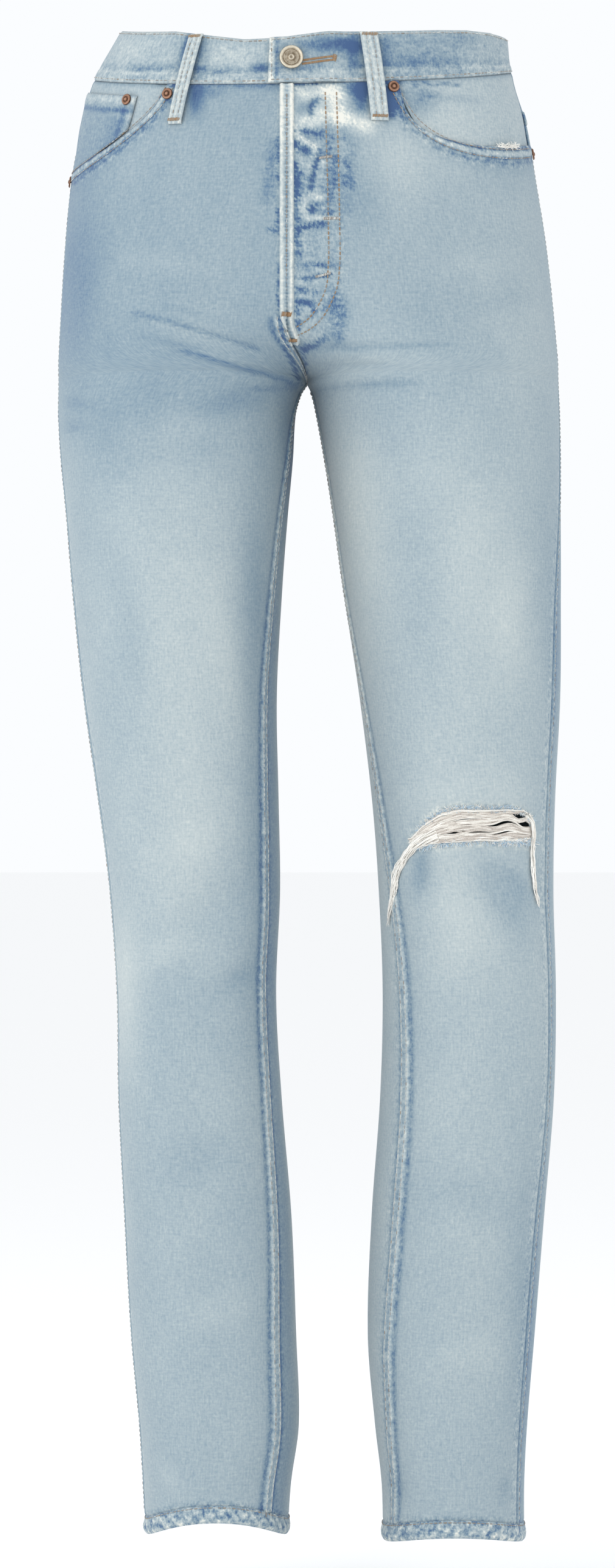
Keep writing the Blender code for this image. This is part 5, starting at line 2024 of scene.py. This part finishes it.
def node_frame(node):
    """A small turned node's base, its axis away from the body, its height and its radius."""
    points = np.array([vertex.co for vertex in bpy.data.objects[node].data.vertices])
    middle = (points.min(0) + points.max(0)) / 2
    axis = np.linalg.eigh(np.cov((points - points.mean(0)).T))[1][:, 0]
    if axis @ (middle * (1, 1, 0)) < 0:
        axis = -axis
    along = (points - middle) @ axis
    out = points - middle - along[:, None] * axis
    return middle + axis * along.min(), axis, np.ptp(along), np.linalg.norm(out, axis=1).max()


def turned(node, rings, finish, slot):
    """A turned metal piece in place of a node, on its own axis."""
    base, axis, height, radius = node_frame(node)
    side = unit(np.cross(axis, (0, 0, 1)))
    turn = 2 * math.pi * np.arange(TURN_STEPS) / TURN_STEPS
    arm = side * np.cos(turn)[:, None] + np.cross(side, axis) * np.sin(turn)[:, None]
    points = base + axis * (height * np.array(column(rings, "height")))[:, None, None]
    points = points + arm * (radius * np.maximum(column(rings, "radius"), LEAST_RING))[:, None, None]
    faces = grid_faces(points, np.broadcast_to(axis, points.shape), ring=True).tolist()
    rub = np.repeat(column(rings, "rub"), TURN_STEPS)
    stand_for(mesh_object(node + "_turned", points, faces, finish, {"rub": rub}), slot, node)


turned("button", BUTTON_RINGS, button_metal, "button_metal")
for name in RIVETS:
    turned("rivet_" + name, RIVET_RINGS, rivet_copper, "rivet_copper")

# ---------------------------------------------------------------- the fields of a piece of cloth's cut, with no piece given one

# flat sizes in metres between the seam lines; a hem's or a band's length is its depth
Cut = namedtuple("Cut", "width length area held rests_on")

# ---------------------------------------------------------------- camera, floor and light

CAMERA_X = -0.0004
CAMERA_Z = -0.489
CAMERA_DISTANCE = 3.6
FRAME_HEIGHT = 1.0562
SENSOR = 36.0
FLOOR_Z = -1.045
FLOOR_REACH = 30.0
SKY = (0.965, 0.982, 1.0, 1.0)
AIM = (0.0, 0.0, -0.45)

Lamp = namedtuple("Lamp", "name x y z size watts")
LAMPS = [
    Lamp("key", -1.5, -2.6, 0.35, 1.8, 31.0),
    Lamp("fill", 1.9, -2.6, -0.3, 2.0, 13.0),
    Lamp("top", 0.0, -0.4, 1.6, 1.8, 6.0),
    Lamp("side_right", -2.4, -0.5, -0.4, 2.0, 17.0),
    Lamp("side_left", 2.4, -0.5, -0.4, 2.0, 12.0),
]


def add_camera():
    data = bpy.data.cameras.new("camera")
    data.sensor_width = SENSOR
    data.lens = SENSOR * CAMERA_DISTANCE / FRAME_HEIGHT
    camera = new_object("camera", data)
    camera.location = (CAMERA_X, -CAMERA_DISTANCE, CAMERA_Z)
    camera.rotation_euler = (math.pi / 2, 0.0, 0.0)
    bpy.context.scene.camera = camera


def add_floor():
    """A plain pale floor under the hems, wide enough to meet the sky from any side."""
    corners = [(-1, -1), (1, -1), (1, 1), (-1, 1)]
    mesh = bpy.data.meshes.new("floor")
    mesh.from_pydata([(x * FLOOR_REACH, y * FLOOR_REACH, FLOOR_Z) for x, y in corners], [], [(0, 1, 2, 3)])
    n = Nodes("pale_floor")
    n.put(n.shader.inputs["Base Color"], (0.95, 0.95, 0.95, 1.0))
    n.put(n.shader.inputs["Roughness"], 0.9)
    mesh.materials.append(n.material)
    new_object("floor", mesh)


def add_lights():
    world = bpy.data.worlds.new("studio")
    bpy.context.scene.world = world
    world.use_nodes = True
    background = world.node_tree.nodes["Background"]
    background.inputs["Color"].default_value = SKY
    background.inputs["Strength"].default_value = 1.0
    for lamp in LAMPS:
        data = bpy.data.lights.new(lamp.name, "AREA")
        data.size = lamp.size
        data.energy = lamp.watts
        made = new_object(lamp.name, data)
        made.location = (lamp.x, lamp.y, lamp.z)
        away = made.location - type(made.location)(AIM)
        made.rotation_euler = away.to_track_quat("Z", "Y").to_euler()


add_camera()
add_floor()
add_lights()
bpy.context.scene.view_settings.view_transform = "Standard"
